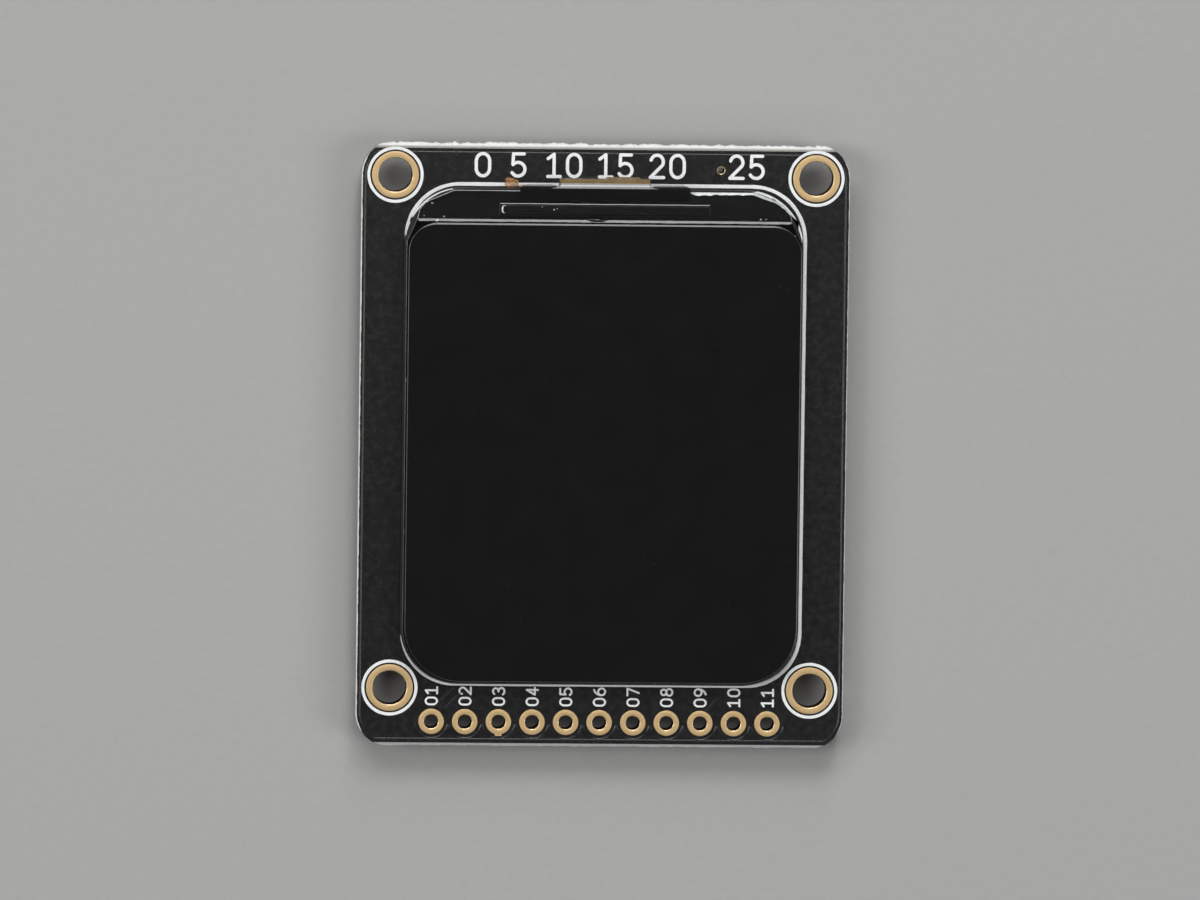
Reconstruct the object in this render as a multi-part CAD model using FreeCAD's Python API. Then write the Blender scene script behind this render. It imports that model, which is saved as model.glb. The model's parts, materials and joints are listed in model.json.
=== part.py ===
import FreeCAD, Part
import math
import os

# Small rounded-rectangle colour display on a carrier board.
# Millimetres. X to the right, Y towards the display's flex, Z out of the screen.
# The origin is under the board's centre, on the surface that the back parts stand on.

# Board
board_width = 36.83
board_length = 45.72
board_thickness = 1.6
board_corner_radius = 2.54
score_depth = 0.5
score_run = 0.2
broken_web_top = 0.3
broken_web_low = 0.04
back_height = 2.0

# Plated holes
mount_hole_r = 1.27
mount_pad_r = 1.77
mount_sides = 24
mount_hole_inset = 2.54
mount_hole_low_inset = 4.445
header_count = 11
header_pitch = 2.54
header_inset = 1.905
header_hole_r = 0.51
header_pad_r = 0.965
header_sides = 12
via_hole_r = 0.175
via_pad_r = 0.3
via_sides = 8
via_x = 8.67
via_inset = 1.98
barrel_wall = 0.03
pad_thickness = 0.04
spoke_width = 0.26
spoke_length = 0.3
pads_before_spoke_count = 2

# Display module
display_width = 30.07
display_length = 37.43
display_corner_radius = 4.3
display_x = -0.14
display_y = 0.72
tape_thickness = 0.4
tape_strip_width = 4.0
tape_strip_inset = 1.6
tape_end_inset = 2.5

# Backlight
frame_wall = 0.45
frame_head = 2.4
reflector_thickness = 0.06
guide_thickness = 0.4
film_thickness = 0.08
film_clearance = 0.05
led_count = 4
led_pitch = 6.0
led_length = 3.0
led_depth = 0.9
led_pocket_clearance = 0.05
led_flex_width = 1.5
led_flex_thickness = 0.06
led_flex_overhang = 1.0
led_tail_width = 2.8
led_tail_x = 1.47
led_tail_reach = 0.02
led_tail_return = 2.2
led_pad_width = 0.9
led_pad_length = 0.8
shield_thickness = 0.06
shield_window_inset = 1.1
shield_inset = 0.02
shield_left_extra = 0.15
shield_right_extra = 0.5
window_chords = 4

# Glass and polarisers
glass_thickness = 0.28
glass_inset = 0.15
ledge_width = 2.15
polariser_thickness = 0.12
polariser_inset = 0.1
polariser_top_inset = 0.3
polariser_x = 0.06
polariser_top_radius = 2.2
seal_width = 1.5
seal_depth = 0.36
seal_height = 0.1
seal_x = -0.58

# Each cut corner of the ledge: how far in from the side and down from the top its points lie
ledge_cut = [(3.5, 0.0), (1.45, 0.88), (0.95, 1.45), (0.8, 2.1), (0.0, 3.9)]

# Driver chip on the ledge
chip_length = 15.55
chip_width = 0.62
chip_height = 0.24
chip_gap = 0.45
bond_film_thickness = 0.02
bond_film_border = 0.15

# Display flex
flex_width = 12.8
flex_tail_width = 6.8
flex_shoulder = 0.5
flex_thickness = 0.1
flex_bond = 0.65
flex_return = 6.0
flex_shoulder_angle = 68.0
flex_step_angle = 48.0
flex_tongue_x = 1.42
flex_tongue_width = 2.7
flex_tongue_reach = 0.1
flex_pad_count = 12
flex_pad_pitch = 0.5
flex_pad_width = 0.3
flex_pad_length = 1.8
land_thickness = 0.04
solder_thickness = 0.06

# Flex cable connector on the back
cable_ways = 18
cable_pitch = 0.5
connector_x = -3.0
connector_inset = 3.6
connector_depth = 4.4
connector_slot_margin = 0.1
connector_end_wall = 1.75
connector_end_setback = 0.25
connector_floor = 0.55
connector_roof = 0.4
connector_roof_length = 1.9
connector_rear_wall = 0.9
contact_sheet = 0.2
contact_clearance = 0.03
contact_arm = 0.2
contact_front = 0.6
contact_rise = 0.12
contact_tail = 0.55
latch_height = 1.0
latch_seat = 0.3
latch_rod_r = 0.15
latch_rear = 0.45
latch_reach = 1.75
latch_clearance = 0.06
latch_ear = 0.7
latch_lip = 0.25
anchor_sheet = 0.2
anchor_length = 2.0
anchor_height = 1.2
anchor_foot = 0.8

# Memory card socket on the back
socket_inset = 0.7
socket_y = -7.2
socket_width = 14.0
socket_depth = 14.6
socket_sheet = 0.15
socket_floor = 0.35
socket_lip = 0.3
socket_rear_wall = 0.6
socket_front_block = 1.4
shell_foot_width = 1.2
shell_foot_reach = 0.55
shell_foot_inset = 1.0
shell_mouth_notch = 0.5
shell_spring_y = 3.2
shell_spring_length = 6.4
shell_spring_width = 1.5
shell_spring_slit = 0.35
shell_window_y = 6.4
shell_window_length = 6.6
shell_window_inset = 0.3
card_width = 11.0
card_clearance = 0.1
card_pitch = 1.1
card_ways = 8
rail_width = 0.55
slider_length = 6.0
slider_clearance = 0.04
slider_start = 5.6
slider_arm_width = 1.5
slider_arm_depth = 0.9
slider_arm_lift = 0.45
cam_depth = 0.3
cam_loop_start = 0.75
cam_loop_length = 1.95
cam_loop_width = 1.05
cam_track = 0.34
spring_r = 0.38
spring_wire = 0.14
spring_turns = 7
spring_chords = 8
spring_clearance = 0.06
pin_wire = 0.25
pin_start = 1.1
pin_reach = 2.3
pin_leg = 0.45
pin_sides = 8
card_contact_width = 0.5
card_contact_sheet = 0.12
card_contact_root = 11.6
card_contact_arm = 2.8
card_contact_tip = 1.1
card_contact_rise = 0.62
card_contact_drop = 0.42
card_contact_tail = 0.45
switch_y = 8.8
switch_length = 1.4
switch_bow = 0.3
switch_height = 0.7

# Chips and passives on the back
lead_sheet = 0.15
chip_standoff = 0.1
end_step = 0.02
fit_gap = 0.012

V = FreeCAD.Vector

# Levels, from the table up
board_low = back_height
board_top = board_low + board_thickness
display_low = board_top + tape_thickness
guide_low = display_low + reflector_thickness
led_height = guide_thickness
films_low = guide_low + guide_thickness
frame_top = films_low + 3 * film_thickness
glass_low = frame_top + shield_thickness + polariser_thickness
ledge_top = glass_low + glass_thickness
filter_top = ledge_top + glass_thickness

# Edges of the display in plan
frame_x0 = display_x - display_width / 2
frame_x1 = display_x + display_width / 2
frame_y0 = display_y - display_length / 2
frame_y1 = display_y + display_length / 2
glass_x0 = frame_x0 + glass_inset
glass_x1 = frame_x1 - glass_inset
glass_y0 = frame_y0 + glass_inset
glass_y1 = frame_y1 - glass_inset
filter_y1 = glass_y1 - ledge_width
light_y1 = frame_y1 - frame_head

# Places of the holes
mount_x = board_width / 2 - mount_hole_inset
mount_y0 = -board_length / 2 + mount_hole_low_inset
mount_y1 = board_length / 2 - mount_hole_inset
mount_places = [(sx * mount_x, y) for y in (mount_y0, mount_y1) for sx in (-1, 1)]
header_y = -board_length / 2 + header_inset
header_places = [((i - (header_count - 1) / 2) * header_pitch, header_y) for i in range(header_count)]
via_places = [(via_x, board_length / 2 - via_inset)]


def box(x0, x1, y0, y1, z0, z1):
    """A block between two values along each axis."""
    return Part.makeBox(x1 - x0, y1 - y0, z1 - z0, V(x0, y0, z0))


def cylinder(x, y, z0, z1, radius):
    """An upright cylinder."""
    return Part.makeCylinder(radius, z1 - z0, V(x, y, z0))


def polygon(points, z0, z1):
    """A straight-sided outline in plan, raised from z0 to z1."""
    wire = Part.makePolygon([V(x, y, z0) for x, y in points + points[:1]])
    return Part.Face(wire).extrude(V(0, 0, z1 - z0))


def prism(x, y, z0, z1, radius, sides):
    """An upright prism with its corners on a circle."""
    turns = [2 * math.pi * (i + 0.5) / sides for i in range(sides)]
    return polygon([(x + radius * math.cos(t), y + radius * math.sin(t)) for t in turns], z0, z1)


def section(points, x0, x1):
    """A straight-sided section in Y and Z, drawn out along X."""
    wire = Part.makePolygon([V(x0, y, z) for y, z in points + points[:1]])
    return Part.Face(wire).extrude(V(x1 - x0, 0, 0))


def rounded(x0, x1, y0, y1, z0, z1, low_radius, top_radius=None, chords=0):
    """A plate with round corners: one radius for the low pair, one for the top pair. 0 is a square corner.

    With chords, each round corner is cut in that many straight steps.
    """
    high = low_radius if top_radius is None else top_radius
    corners = [(x1, y0, low_radius, -90), (x1, y1, high, 0), (x0, y1, high, 90), (x0, y0, low_radius, 180)]
    edges = []
    ends = []
    for x, y, radius, start in corners:
        cx = x - radius if x == x1 else x + radius
        cy = y - radius if y == y1 else y + radius
        on_arc = []
        steps = chords or 2
        for i in range(steps + 1):
            angle = math.radians(start + 90 * i / steps)
            on_arc.append(V(cx + radius * math.cos(angle), cy + radius * math.sin(angle), z0))
        if radius > 0 and chords:
            edges += [Part.LineSegment(a, b).toShape() for a, b in zip(on_arc, on_arc[1:])]
        elif radius > 0:
            edges.append(Part.Arc(*on_arc).toShape())
        ends.append((on_arc[0], on_arc[-1]))
    for i in range(4):
        edges.append(Part.LineSegment(ends[i][1], ends[(i + 1) % 4][0]).toShape())
    wire = Part.Wire(Part.__sortEdges__(edges))
    return Part.Face(wire).extrude(V(0, 0, z1 - z0))


def joined(shapes):
    """One solid from pieces that overlap or share faces."""
    whole = shapes[0].fuse(shapes[1:]) if len(shapes) > 1 else shapes[0]
    return whole.removeSplitter()


def on_back(shape, x, y, turn=0):
    """Place a part that was drawn board side down, with its mouth towards -Y, on the back of the board."""
    placed = shape.copy()
    placed.rotate(V(0, 0, 0), V(1, 0, 0), 180)
    placed.rotate(V(0, 0, 0), V(0, 0, 1), turn)
    placed.translate(V(x, y, board_low))
    return placed


def save(node, solids):
    """Write one sub-part, as one solid or as a group of separate solids."""
    shape = solids if isinstance(solids, Part.Shape) else Part.makeCompound(solids)
    shape.exportStep("parts/" + node + ".step")


# Circuit board: scored edges at top and bottom, routed sides, and plated holes

def scored_edge(side, web):
    """One long edge in section, from the back face to the front: two slanted cuts and the web that was broken."""
    half = side * board_length / 2
    cut = half - side * web
    face = cut - side * score_run
    low, high = board_low + score_depth, board_top - score_depth
    torn = [(half, low + web / 4), (half, high - web / 4)]
    return [(face, board_low), (cut, low)] + torn + [(cut, high), (face, board_top)]


def circuit_board():
    """The bare board, cut from its panel along two V-scores."""
    half = board_length / 2
    profile = scored_edge(1, broken_web_top) + scored_edge(-1, broken_web_low)[::-1]
    scored = section(profile, -board_width / 2, board_width / 2)
    outline = rounded(-board_width / 2, board_width / 2, -half, half, board_low, board_top, board_corner_radius)
    holes = []
    for places, hole_r, sides in ((mount_places, mount_hole_r, mount_sides),
                                  (header_places, header_hole_r, header_sides), (via_places, via_hole_r, via_sides)):
        flat_r = (hole_r + barrel_wall + fit_gap) / math.cos(math.pi / sides)
        holes += [prism(x, y, board_low, board_top, flat_r, sides) for x, y in places]
    return scored.common(outline).cut(Part.makeCompound(holes))


def mount_plating(x, y):
    """One plated mounting hole: a round barrel with a flat pad at each end, turned in one profile."""
    hole, pad, wall = mount_hole_r, mount_pad_r, mount_hole_r + barrel_wall
    low, high, t = board_low, board_top, pad_thickness
    points = [(hole, low - t), (pad, low - t), (pad, low), (wall, low), (wall, high), (pad, high), (pad, high + t),
              (hole, high + t)]
    wire = Part.makePolygon([V(x + r, y, z) for r, z in points + points[:1]])
    return Part.Face(wire).revolve(V(x, y, 0), V(0, 0, 1), 360)


def small_plating(x, y, hole_r, pad_r, sides):
    """One small plated hole, many-sided: its barrel and its flat pad at each end."""
    low, high, t = board_low, board_top, pad_thickness
    barrel = prism(x, y, low - t, high + t, hole_r + barrel_wall, sides)
    pads = [prism(x, y, low - t, low, pad_r, sides), prism(x, y, high, high + t, pad_r, sides)]
    return joined([barrel] + pads).cut(prism(x, y, low - t, high + t, hole_r, sides))


def header_plating():
    """The plated header holes; one pad has a short copper spoke to the copper around it."""
    pieces = [small_plating(x, y, header_hole_r, header_pad_r, header_sides) for x, y in header_places]
    x, y = header_places[pads_before_spoke_count]
    half = spoke_width / 2
    spoke = box(x - half, x + half, y - header_pad_r - spoke_length, y - (header_hole_r + header_pad_r) / 2,
                board_top, board_top + pad_thickness)
    pieces[pads_before_spoke_count] = joined([pieces[pads_before_spoke_count], spoke])
    return pieces


# Display module, from the tape up

def display_tape():
    """Two foam strips that hold the module to the board."""
    y0, y1 = frame_y0 + tape_end_inset, frame_y1 - tape_end_inset
    left = frame_x0 + tape_strip_inset
    right = frame_x1 - tape_strip_inset
    return [
        box(left, left + tape_strip_width, y0, y1, board_top, display_low),
        box(right - tape_strip_width, right, y0, y1, board_top, display_low),
    ]


def frame_outline(inset, z0, z1):
    """The module's outline in plan, set in by one distance all round."""
    radius = display_corner_radius - inset
    return rounded(frame_x0 + inset, frame_x1 - inset, frame_y0 + inset, frame_y1 - inset, z0, z1, radius)


def light_outline(inset, z0, z1):
    """The lit window inside the frame, which ends at the light bar."""
    x0, x1 = frame_x0 + frame_wall + inset, frame_x1 - frame_wall - inset
    low = frame_y0 + frame_wall + inset
    radius = display_corner_radius - frame_wall - inset
    return rounded(x0, x1, low, light_y1 - inset, z0, z1, radius, 0, window_chords)


def led_centres():
    """Where the lamps sit along the light bar."""
    return [display_x + (i - (led_count - 1) / 2) * led_pitch for i in range(led_count)]


def led_body(x, grow):
    """One lamp, or the pocket that holds it."""
    half = led_length / 2 + grow
    y0 = light_y1 - film_clearance
    return box(x - half, x + half, y0, y0 + led_depth + film_clearance + grow, guide_low, guide_low + led_height)


def led_flex_outline(grow, z0, z1):
    """The lamps' flex strip and the tail that leaves it through the frame."""
    reach = (led_count - 1) * led_pitch / 2 + led_length / 2 + led_flex_overhang + grow
    y0 = light_y1 + led_pocket_clearance - grow
    strip = box(display_x - reach, display_x + reach, y0, y0 + led_flex_width + 2 * grow, z0, z1)
    tail_x0 = display_x + led_tail_x - led_tail_width / 2 - grow
    tail = box(tail_x0, tail_x0 + led_tail_width + 2 * grow, y0, frame_y1, z0, z1)
    return joined([strip, tail])


def backlight_frame():
    """Moulded frame with lamp pockets in its thick head and a shallow seat for the lamps' flex."""
    frame = frame_outline(0, display_low, frame_top).cut(light_outline(0, display_low, frame_top))
    pockets = [led_body(x, led_pocket_clearance) for x in led_centres()]
    seat = led_flex_outline(led_pocket_clearance, films_low, frame_top)
    return frame.cut(Part.makeCompound(pockets)).cut(seat)


def led_tail_low():
    """Underside of the lamps' tail where it is soldered to the display flex."""
    return board_top + land_thickness + solder_thickness + flex_thickness + solder_thickness


def backlight_flex():
    """The lamps' flex: a flat strip over the lamps and a tail folded back under the frame."""
    t = led_flex_thickness
    flat = led_flex_outline(0, films_low, films_low + t)
    low = led_tail_low()
    outer = (films_low + t - low) / 2
    centre_y = frame_y1 + led_tail_reach
    centre_z = low + outer
    x0 = display_x + led_tail_x - led_tail_width / 2
    x1 = x0 + led_tail_width
    bend = bent_strip(x0, x1, centre_y, centre_z, outer, t)
    link = box(x0, x1, frame_y1 - t, centre_y, films_low, films_low + t)
    back = box(x0, x1, centre_y - led_tail_return, centre_y, low, low + t)
    return joined([flat, link, bend, back])


def bent_strip(x0, x1, centre_y, centre_z, outer, thickness):
    """A half turn of flat strip about an axis along X, open towards -Y."""
    inner = outer - thickness
    axis = V(1, 0, 0)
    start = V(x0, centre_y, centre_z)
    tube = Part.makeCylinder(outer, x1 - x0, start, axis).cut(Part.makeCylinder(inner, x1 - x0, start, axis))
    return tube.common(box(x0, x1, centre_y, centre_y + outer, centre_z - outer, centre_z + outer))


def shield_tape():
    """Black ring of tape between the backlight and the glass; its top corners leave the frame's corners bare."""
    top, low_radius = frame_top + shield_thickness, display_corner_radius - shield_inset
    x0, x1 = frame_x0 + shield_inset, frame_x1 - shield_inset
    y0, y1 = frame_y0 + shield_inset, frame_y1 - shield_inset
    left = rounded(x0, x1 + low_radius, y0, y1, frame_top, top, low_radius, low_radius + shield_left_extra)
    right = rounded(x0 - low_radius, x1, y0, y1, frame_top, top, low_radius, low_radius + shield_right_extra)
    return left.common(right).cut(light_outline(shield_window_inset, frame_top, top))


def glass_outline(z0, z1):
    """The cut glass: round low corners, and top corners cut in straight steps."""
    plate = rounded(glass_x0, glass_x1, glass_y0, glass_y1, z0, z1, display_corner_radius - glass_inset, 0)
    for side in (-1, 1):
        edge = glass_x0 if side < 0 else glass_x1
        cuts = [(edge - side * dx, glass_y1 - dy) for dx, dy in ledge_cut]
        far = [(edge + side, cuts[-1][1]), (edge + side, glass_y1 + 1), (cuts[0][0], glass_y1 + 1)]
        plate = plate.cut(polygon(cuts + far, z0, z1))
    return plate


def filter_glass():
    """The upper glass, which stops short and leaves the ledge bare."""
    return glass_outline(ledge_top, filter_top).common(
        box(glass_x0, glass_x1, glass_y0, filter_y1, ledge_top, filter_top))


def polariser(z0):
    """One polariser sheet, laid a little to one side."""
    x0, x1 = glass_x0 + polariser_inset + polariser_x, glass_x1 - polariser_inset + polariser_x
    y0, y1 = glass_y0 + polariser_inset, filter_y1 - polariser_top_inset
    low_radius = display_corner_radius - glass_inset
    return rounded(x0, x1, y0, y1, z0, z0 + polariser_thickness, low_radius, polariser_top_radius)


def fill_port_seal():
    """The drop of sealant over the filling gap at the upper glass's edge: a lens in plan."""
    middle, half = display_x + seal_x, seal_width / 2
    ends = [V(middle - half, filter_y1, ledge_top), V(middle + half, filter_y1, ledge_top)]
    tops = [V(middle, filter_y1 + side * seal_depth / 2, ledge_top) for side in (-1, 1)]
    arcs = [Part.Arc(ends[0], top, ends[1]).toShape() for top in tops]
    drop = Part.Face(Part.Wire(arcs)).extrude(V(0, 0, glass_thickness + seal_height))
    return drop.cut(box(glass_x0, glass_x1, glass_y0, filter_y1, ledge_top, filter_top))


def chip_y():
    """Where the driver chip's middle lies on the ledge."""
    return filter_y1 + chip_gap + chip_width / 2


def driver_chip():
    """The long bare driver chip, face down on its bond film."""
    y = chip_y()
    z0 = ledge_top + bond_film_thickness
    return box(display_x - chip_length / 2, display_x + chip_length / 2, y - chip_width / 2, y + chip_width / 2,
               z0, z0 + chip_height)


def bond_film():
    """Clear conductive film under the chip, a little larger than it."""
    half_x = chip_length / 2 + bond_film_border
    half_y = chip_width / 2 + bond_film_border
    y = chip_y()
    return box(display_x - half_x, display_x + half_x, y - half_y, y + half_y, ledge_top,
               ledge_top + bond_film_thickness)


def flex_levels():
    """The bend's outer radius and the height of its axis, from the ledge above to the solder below."""
    low = board_top + land_thickness + solder_thickness
    outer = (ledge_top + flex_thickness - low) / 2
    return low, outer, low + outer


def display_flex():
    """The display's flex: bonded wide on the ledge, bent down past the frame, narrow under the module."""
    low, outer, axis_z = flex_levels()
    axis_y = frame_y1
    t = flex_thickness
    wide0, wide1 = display_x - flex_width / 2, display_x + flex_width / 2
    tail0, tail1 = display_x - flex_tail_width / 2, display_x + flex_tail_width / 2
    bond = box(wide0, wide1, glass_y1 - flex_bond, axis_y, ledge_top, ledge_top + t)
    bend = bent_strip(wide0, wide1, axis_y, axis_z, outer, t)
    for angle, step in ((flex_shoulder_angle, flex_shoulder), (flex_step_angle, 0)):
        a = math.radians(angle)
        beyond = [(axis_y, axis_z), (axis_y + 2 * outer * math.cos(a), axis_z + 2 * outer * math.sin(a)),
                  (axis_y + 2 * outer, low), (axis_y, low)]
        bend = bend.cut(section(beyond, wide0, tail0 - step)).cut(section(beyond, tail1 + step, wide1))
    back = box(tail0, tail1, axis_y - flex_return, axis_y, low, low + t)
    tongue_x = display_x + flex_tongue_x
    tongue_y = axis_y + outer + flex_tongue_reach
    tongue = box(tongue_x - flex_tongue_width / 2, tongue_x + flex_tongue_width / 2, axis_y, tongue_y, low, low + t)
    return joined([bond, bend, back, tongue])


def flex_pad_spots():
    """The middle of each soldered pad of the display flex."""
    y = frame_y1 - flex_return + flex_pad_length / 2
    return [(display_x + (i - (flex_pad_count - 1) / 2) * flex_pad_pitch, y) for i in range(flex_pad_count)]


def pad_blocks(spots, width, length, z0, z1):
    """A flat block at each spot."""
    return [box(x - width / 2, x + width / 2, y - length / 2, y + length / 2, z0, z1) for x, y in spots]


def flex_solder(low):
    """Solder under the display flex's pads, and on its back under the lamps' tail."""
    joints = pad_blocks(flex_pad_spots(), flex_pad_width, flex_pad_length, low, low + solder_thickness)
    tail_low = led_tail_low() - solder_thickness
    y = frame_y1 + led_tail_reach - led_tail_return + led_pad_length / 2
    spots = [(display_x + led_tail_x + side * led_tail_width / 4, y) for side in (-1, 1)]
    return joints + pad_blocks(spots, led_pad_width, led_pad_length, tail_low, tail_low + solder_thickness)


# Memory card socket, drawn board side down with its mouth towards -Y

socket_half = socket_width / 2
shell_low = back_height - socket_sheet
base_half = socket_half - socket_sheet - fit_gap
base_rear = socket_depth - socket_sheet - fit_gap
card_x0 = -base_half + rail_width
card_x1 = card_x0 + card_width + 2 * card_clearance
channel_x0 = card_x1 + slider_clearance
channel_x1 = base_half - slider_clearance
channel_middle = (channel_x0 + channel_x1) / 2
pin_top = shell_low - slider_clearance
slider_low = socket_floor + slider_clearance
slider_top = pin_top - pin_wire - slider_clearance
slider_end = slider_start + slider_length
pin_end = slider_start + pin_reach
spring_bore = spring_r + spring_wire / 2 + spring_clearance
spring_axis_z = slider_low + spring_bore


def socket_shell():
    """Stamped steel cover: flat top, folded sides and rear, feet, and two tongues that press on the card."""
    half = socket_half
    outer = box(-half, half, 0, socket_depth, 0, back_height)
    inner = box(-half + socket_sheet, half - socket_sheet, 0, socket_depth - socket_sheet, 0, shell_low)
    shell = outer.cut(inner)
    cuts = [box(-half, half, socket_depth - socket_sheet, socket_depth, 0, back_height / 2)]
    middle = (card_x0 + card_x1) / 2
    for side in (-1, 1):
        cuts.append(shell_tongue_slit(middle + side * card_width / 4))
    window_end = shell_window_y + shell_window_length
    cuts.append(rounded(channel_x0 + shell_window_inset, channel_x1 - shell_window_inset, shell_window_y, window_end,
                        shell_low, back_height, shell_window_inset))
    notch = shell_mouth_notch
    cuts.append(box(card_x0 + 2 * notch, card_x1 - 2 * notch, 0, notch, shell_low, back_height))
    shell = shell.cut(Part.makeCompound(cuts))
    feet = []
    for side in (-1, 1):
        x0, x1 = sorted((side * (half - socket_sheet), side * (half + shell_foot_reach)))
        for y in foot_places():
            feet.append(box(x0, x1, y, y + shell_foot_width, 0, socket_sheet))
    return joined([shell] + feet)


def foot_places():
    """Where the shell's feet start along its sides."""
    return shell_foot_inset, socket_depth - shell_foot_inset - shell_foot_width


def shell_tongue_slit(x):
    """The slit round one pressed tongue, open at its root end."""
    half = shell_spring_width / 2
    end = shell_spring_y + shell_spring_length
    slit = box(x - half - shell_spring_slit, x + half + shell_spring_slit, shell_spring_y, end, shell_low,
               back_height)
    return slit.cut(box(x - half, x + half, shell_spring_y + shell_spring_slit, end, shell_low, back_height))


def socket_base():
    """Moulded base: floor with contact grooves, side rail, front block with the pin's seat, and rear wall."""
    floor = box(-base_half, base_half, socket_lip, base_rear, 0, socket_floor)
    rail = box(-base_half, card_x0, socket_lip, base_rear, 0, shell_low)
    rear = box(card_x1 - slider_arm_width, base_half, base_rear - socket_rear_wall, base_rear, 0, shell_low)
    front_end = socket_lip + socket_front_block
    front = box(card_x1, base_half, socket_lip, front_end, 0, shell_low)
    base = joined([floor, rail, rear, front])
    cuts = []
    groove = card_contact_width / 2 + contact_clearance
    groove_start = card_contact_root - card_contact_arm - card_contact_tip - card_contact_drop
    for x in card_contact_places():
        cuts.append(box(x - groove, x + groove, groove_start, socket_depth, 0, socket_floor))
    seat = pin_wire / 2 + contact_clearance
    cuts.append(prism(channel_middle, pin_start, pin_top - pin_wire - pin_leg, shell_low, seat, pin_sides))
    cuts.append(box(channel_middle - seat, channel_middle + seat, pin_start, front_end, pin_top - pin_wire
                    - contact_clearance, shell_low))
    return base.cut(Part.makeCompound(cuts))


def card_contact_places():
    """Where the card contacts lie across the socket."""
    middle = (card_x0 + card_x1) / 2
    return [middle + (i - (card_ways - 1) / 2) * card_pitch for i in range(card_ways)]


def card_contacts():
    """Sprung strips: a soldered tail at the rear, a flat root in the base and an arm that rises to the card."""
    t = card_contact_sheet
    low, root = 0, card_contact_root
    peak_y = root - card_contact_arm
    tip_y = peak_y - card_contact_tip
    peak_z = socket_floor + card_contact_rise
    tip_z = peak_z - card_contact_drop
    tail = socket_depth + card_contact_tail
    points = [(tail, low), (root, low), (peak_y, peak_z - t), (tip_y, tip_z - t), (tip_y, tip_z), (peak_y, peak_z),
              (root, low + t), (tail, low + t)]
    half = card_contact_width / 2
    return [section(points, x - half, x + half) for x in card_contact_places()]


def card_slider():
    """Push-push slider: a block with a spring trough, a heart cam and an arm that the card pushes."""
    x0, x1, y0, y1 = channel_x0, channel_x1, slider_start, slider_end
    block = box(x0, x1, y0, y1, slider_low, slider_top)
    arm = box(card_x1 - slider_arm_width, x1, y1 - slider_arm_depth, y1, slider_low + slider_arm_lift, slider_top)
    return joined([block, arm]).cut(spring_trough()).cut(cam_track_cut())


def spring_trough():
    """The space for the spring in the slider's rear half, open below: straight walls and a three-sided roof."""
    r = spring_bore
    knee = r * math.tan(math.pi / 8)
    start = slider_end - slider_length / 2
    points = [(-r, slider_low), (-r, spring_axis_z + knee), (-knee, spring_axis_z + r), (knee, spring_axis_z + r),
              (r, spring_axis_z + knee), (r, slider_low)]
    wire = Part.makePolygon([V(channel_middle + x, start, z) for x, z in points + points[:1]])
    return Part.Face(wire).extrude(V(0, slider_length / 2, 0))


def cam_track_cut():
    """The cam track: a straight way in beside a heart, a notch that holds the pin, and a slanted way out."""
    track = cam_track
    y0 = slider_start + cam_loop_start
    y1 = y0 + cam_loop_length
    right = channel_middle + track / 2
    left = right - cam_loop_width
    loop = [(right, y0), (right, y1), (right - 1.5 * track, y1), (left, y1 - 1.5 * track), (left, y0 + track / 2),
            (left + track / 2, y0)]
    inner_left, inner_right = left + track, right - track
    middle = (inner_left + inner_right) / 2
    heart = [(inner_right, y0 + track), (inner_right, y1 - 2 * track), (middle, y1 - track),
             (inner_left, y1 - 2 * track), (inner_left, y0 + track), (middle, y0 + 1.5 * track)]
    low = slider_top - cam_depth
    return polygon(loop, low, slider_top).cut(polygon(heart, low, slider_top))


def slider_spring():
    """Coil spring from the slider's trough to the rear wall, in short straight chords."""
    start = slider_end - slider_length / 2 + spring_wire
    end = base_rear - socket_rear_wall - spring_wire
    chords = spring_turns * spring_chords
    path = []
    for i in range(chords + 1):
        angle = 2 * math.pi * i / spring_chords
        path.append(V(channel_middle + spring_r * math.cos(angle), start + (end - start) * i / chords,
                      spring_axis_z + spring_r * math.sin(angle)))
    side = spring_wire / 2
    ring = [path[0] + V(dx, 0, dz) for dx, dz in ((-side, 0), (0, -side), (side, 0), (0, side), (-side, 0))]
    ring = Part.makePolygon(ring)
    ring.rotate(path[0], V(1, 0, 0), 90)
    return Part.Wire(Part.makePolygon(path).Edges).makePipeShell([ring], True, False, 1)


def cam_pin():
    """Bent wire link: one end turned down into the base, the other into the slider's cam track."""
    r = pin_wire / 2
    bar = box(channel_middle - r, channel_middle + r, pin_start, pin_end, pin_top - pin_wire, pin_top)
    reach = pin_wire + slider_clearance + cam_depth - contact_clearance
    legs = [prism(channel_middle, pin_start, pin_top - pin_wire - pin_leg, pin_top, r, pin_sides),
            prism(channel_middle, pin_end, pin_top - reach, pin_top, r, pin_sides)]
    return joined([bar] + legs)


def detect_switch():
    """Bowed leaf beside the side rail, closed by an inserted card."""
    t = card_contact_sheet
    x, y0, y1 = card_x0, switch_y, switch_y + switch_length
    points = [(x, y0), (x + t, y0), (x + switch_bow + t, y1), (x + switch_bow, y1)]
    return polygon(points, socket_floor, socket_floor + switch_height)


# Flex cable connector, drawn board side down with its mouth towards -Y

slot_half = (cable_ways + 1) * cable_pitch / 2 + connector_slot_margin
connector_half = slot_half + connector_end_wall
roof_y = connector_depth - connector_roof_length
roof_low = back_height - connector_roof
pivot_z = back_height - (latch_height + latch_clearance) / 2
latch_corner = math.hypot(latch_rear, back_height - pivot_z)
pivot_y = roof_y - latch_clearance - latch_corner
ear_r = latch_height / 2 - latch_clearance
hook_low = pivot_z + latch_rod_r + contact_clearance
hook_top = hook_low + contact_arm
slot_front = math.hypot(latch_rod_r + contact_arm, hook_top - pivot_z)


def contact_places():
    """Where the connector's contacts lie across it."""
    return [(i - (cable_ways - 1) / 2) * cable_pitch for i in range(cable_ways)]


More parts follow.
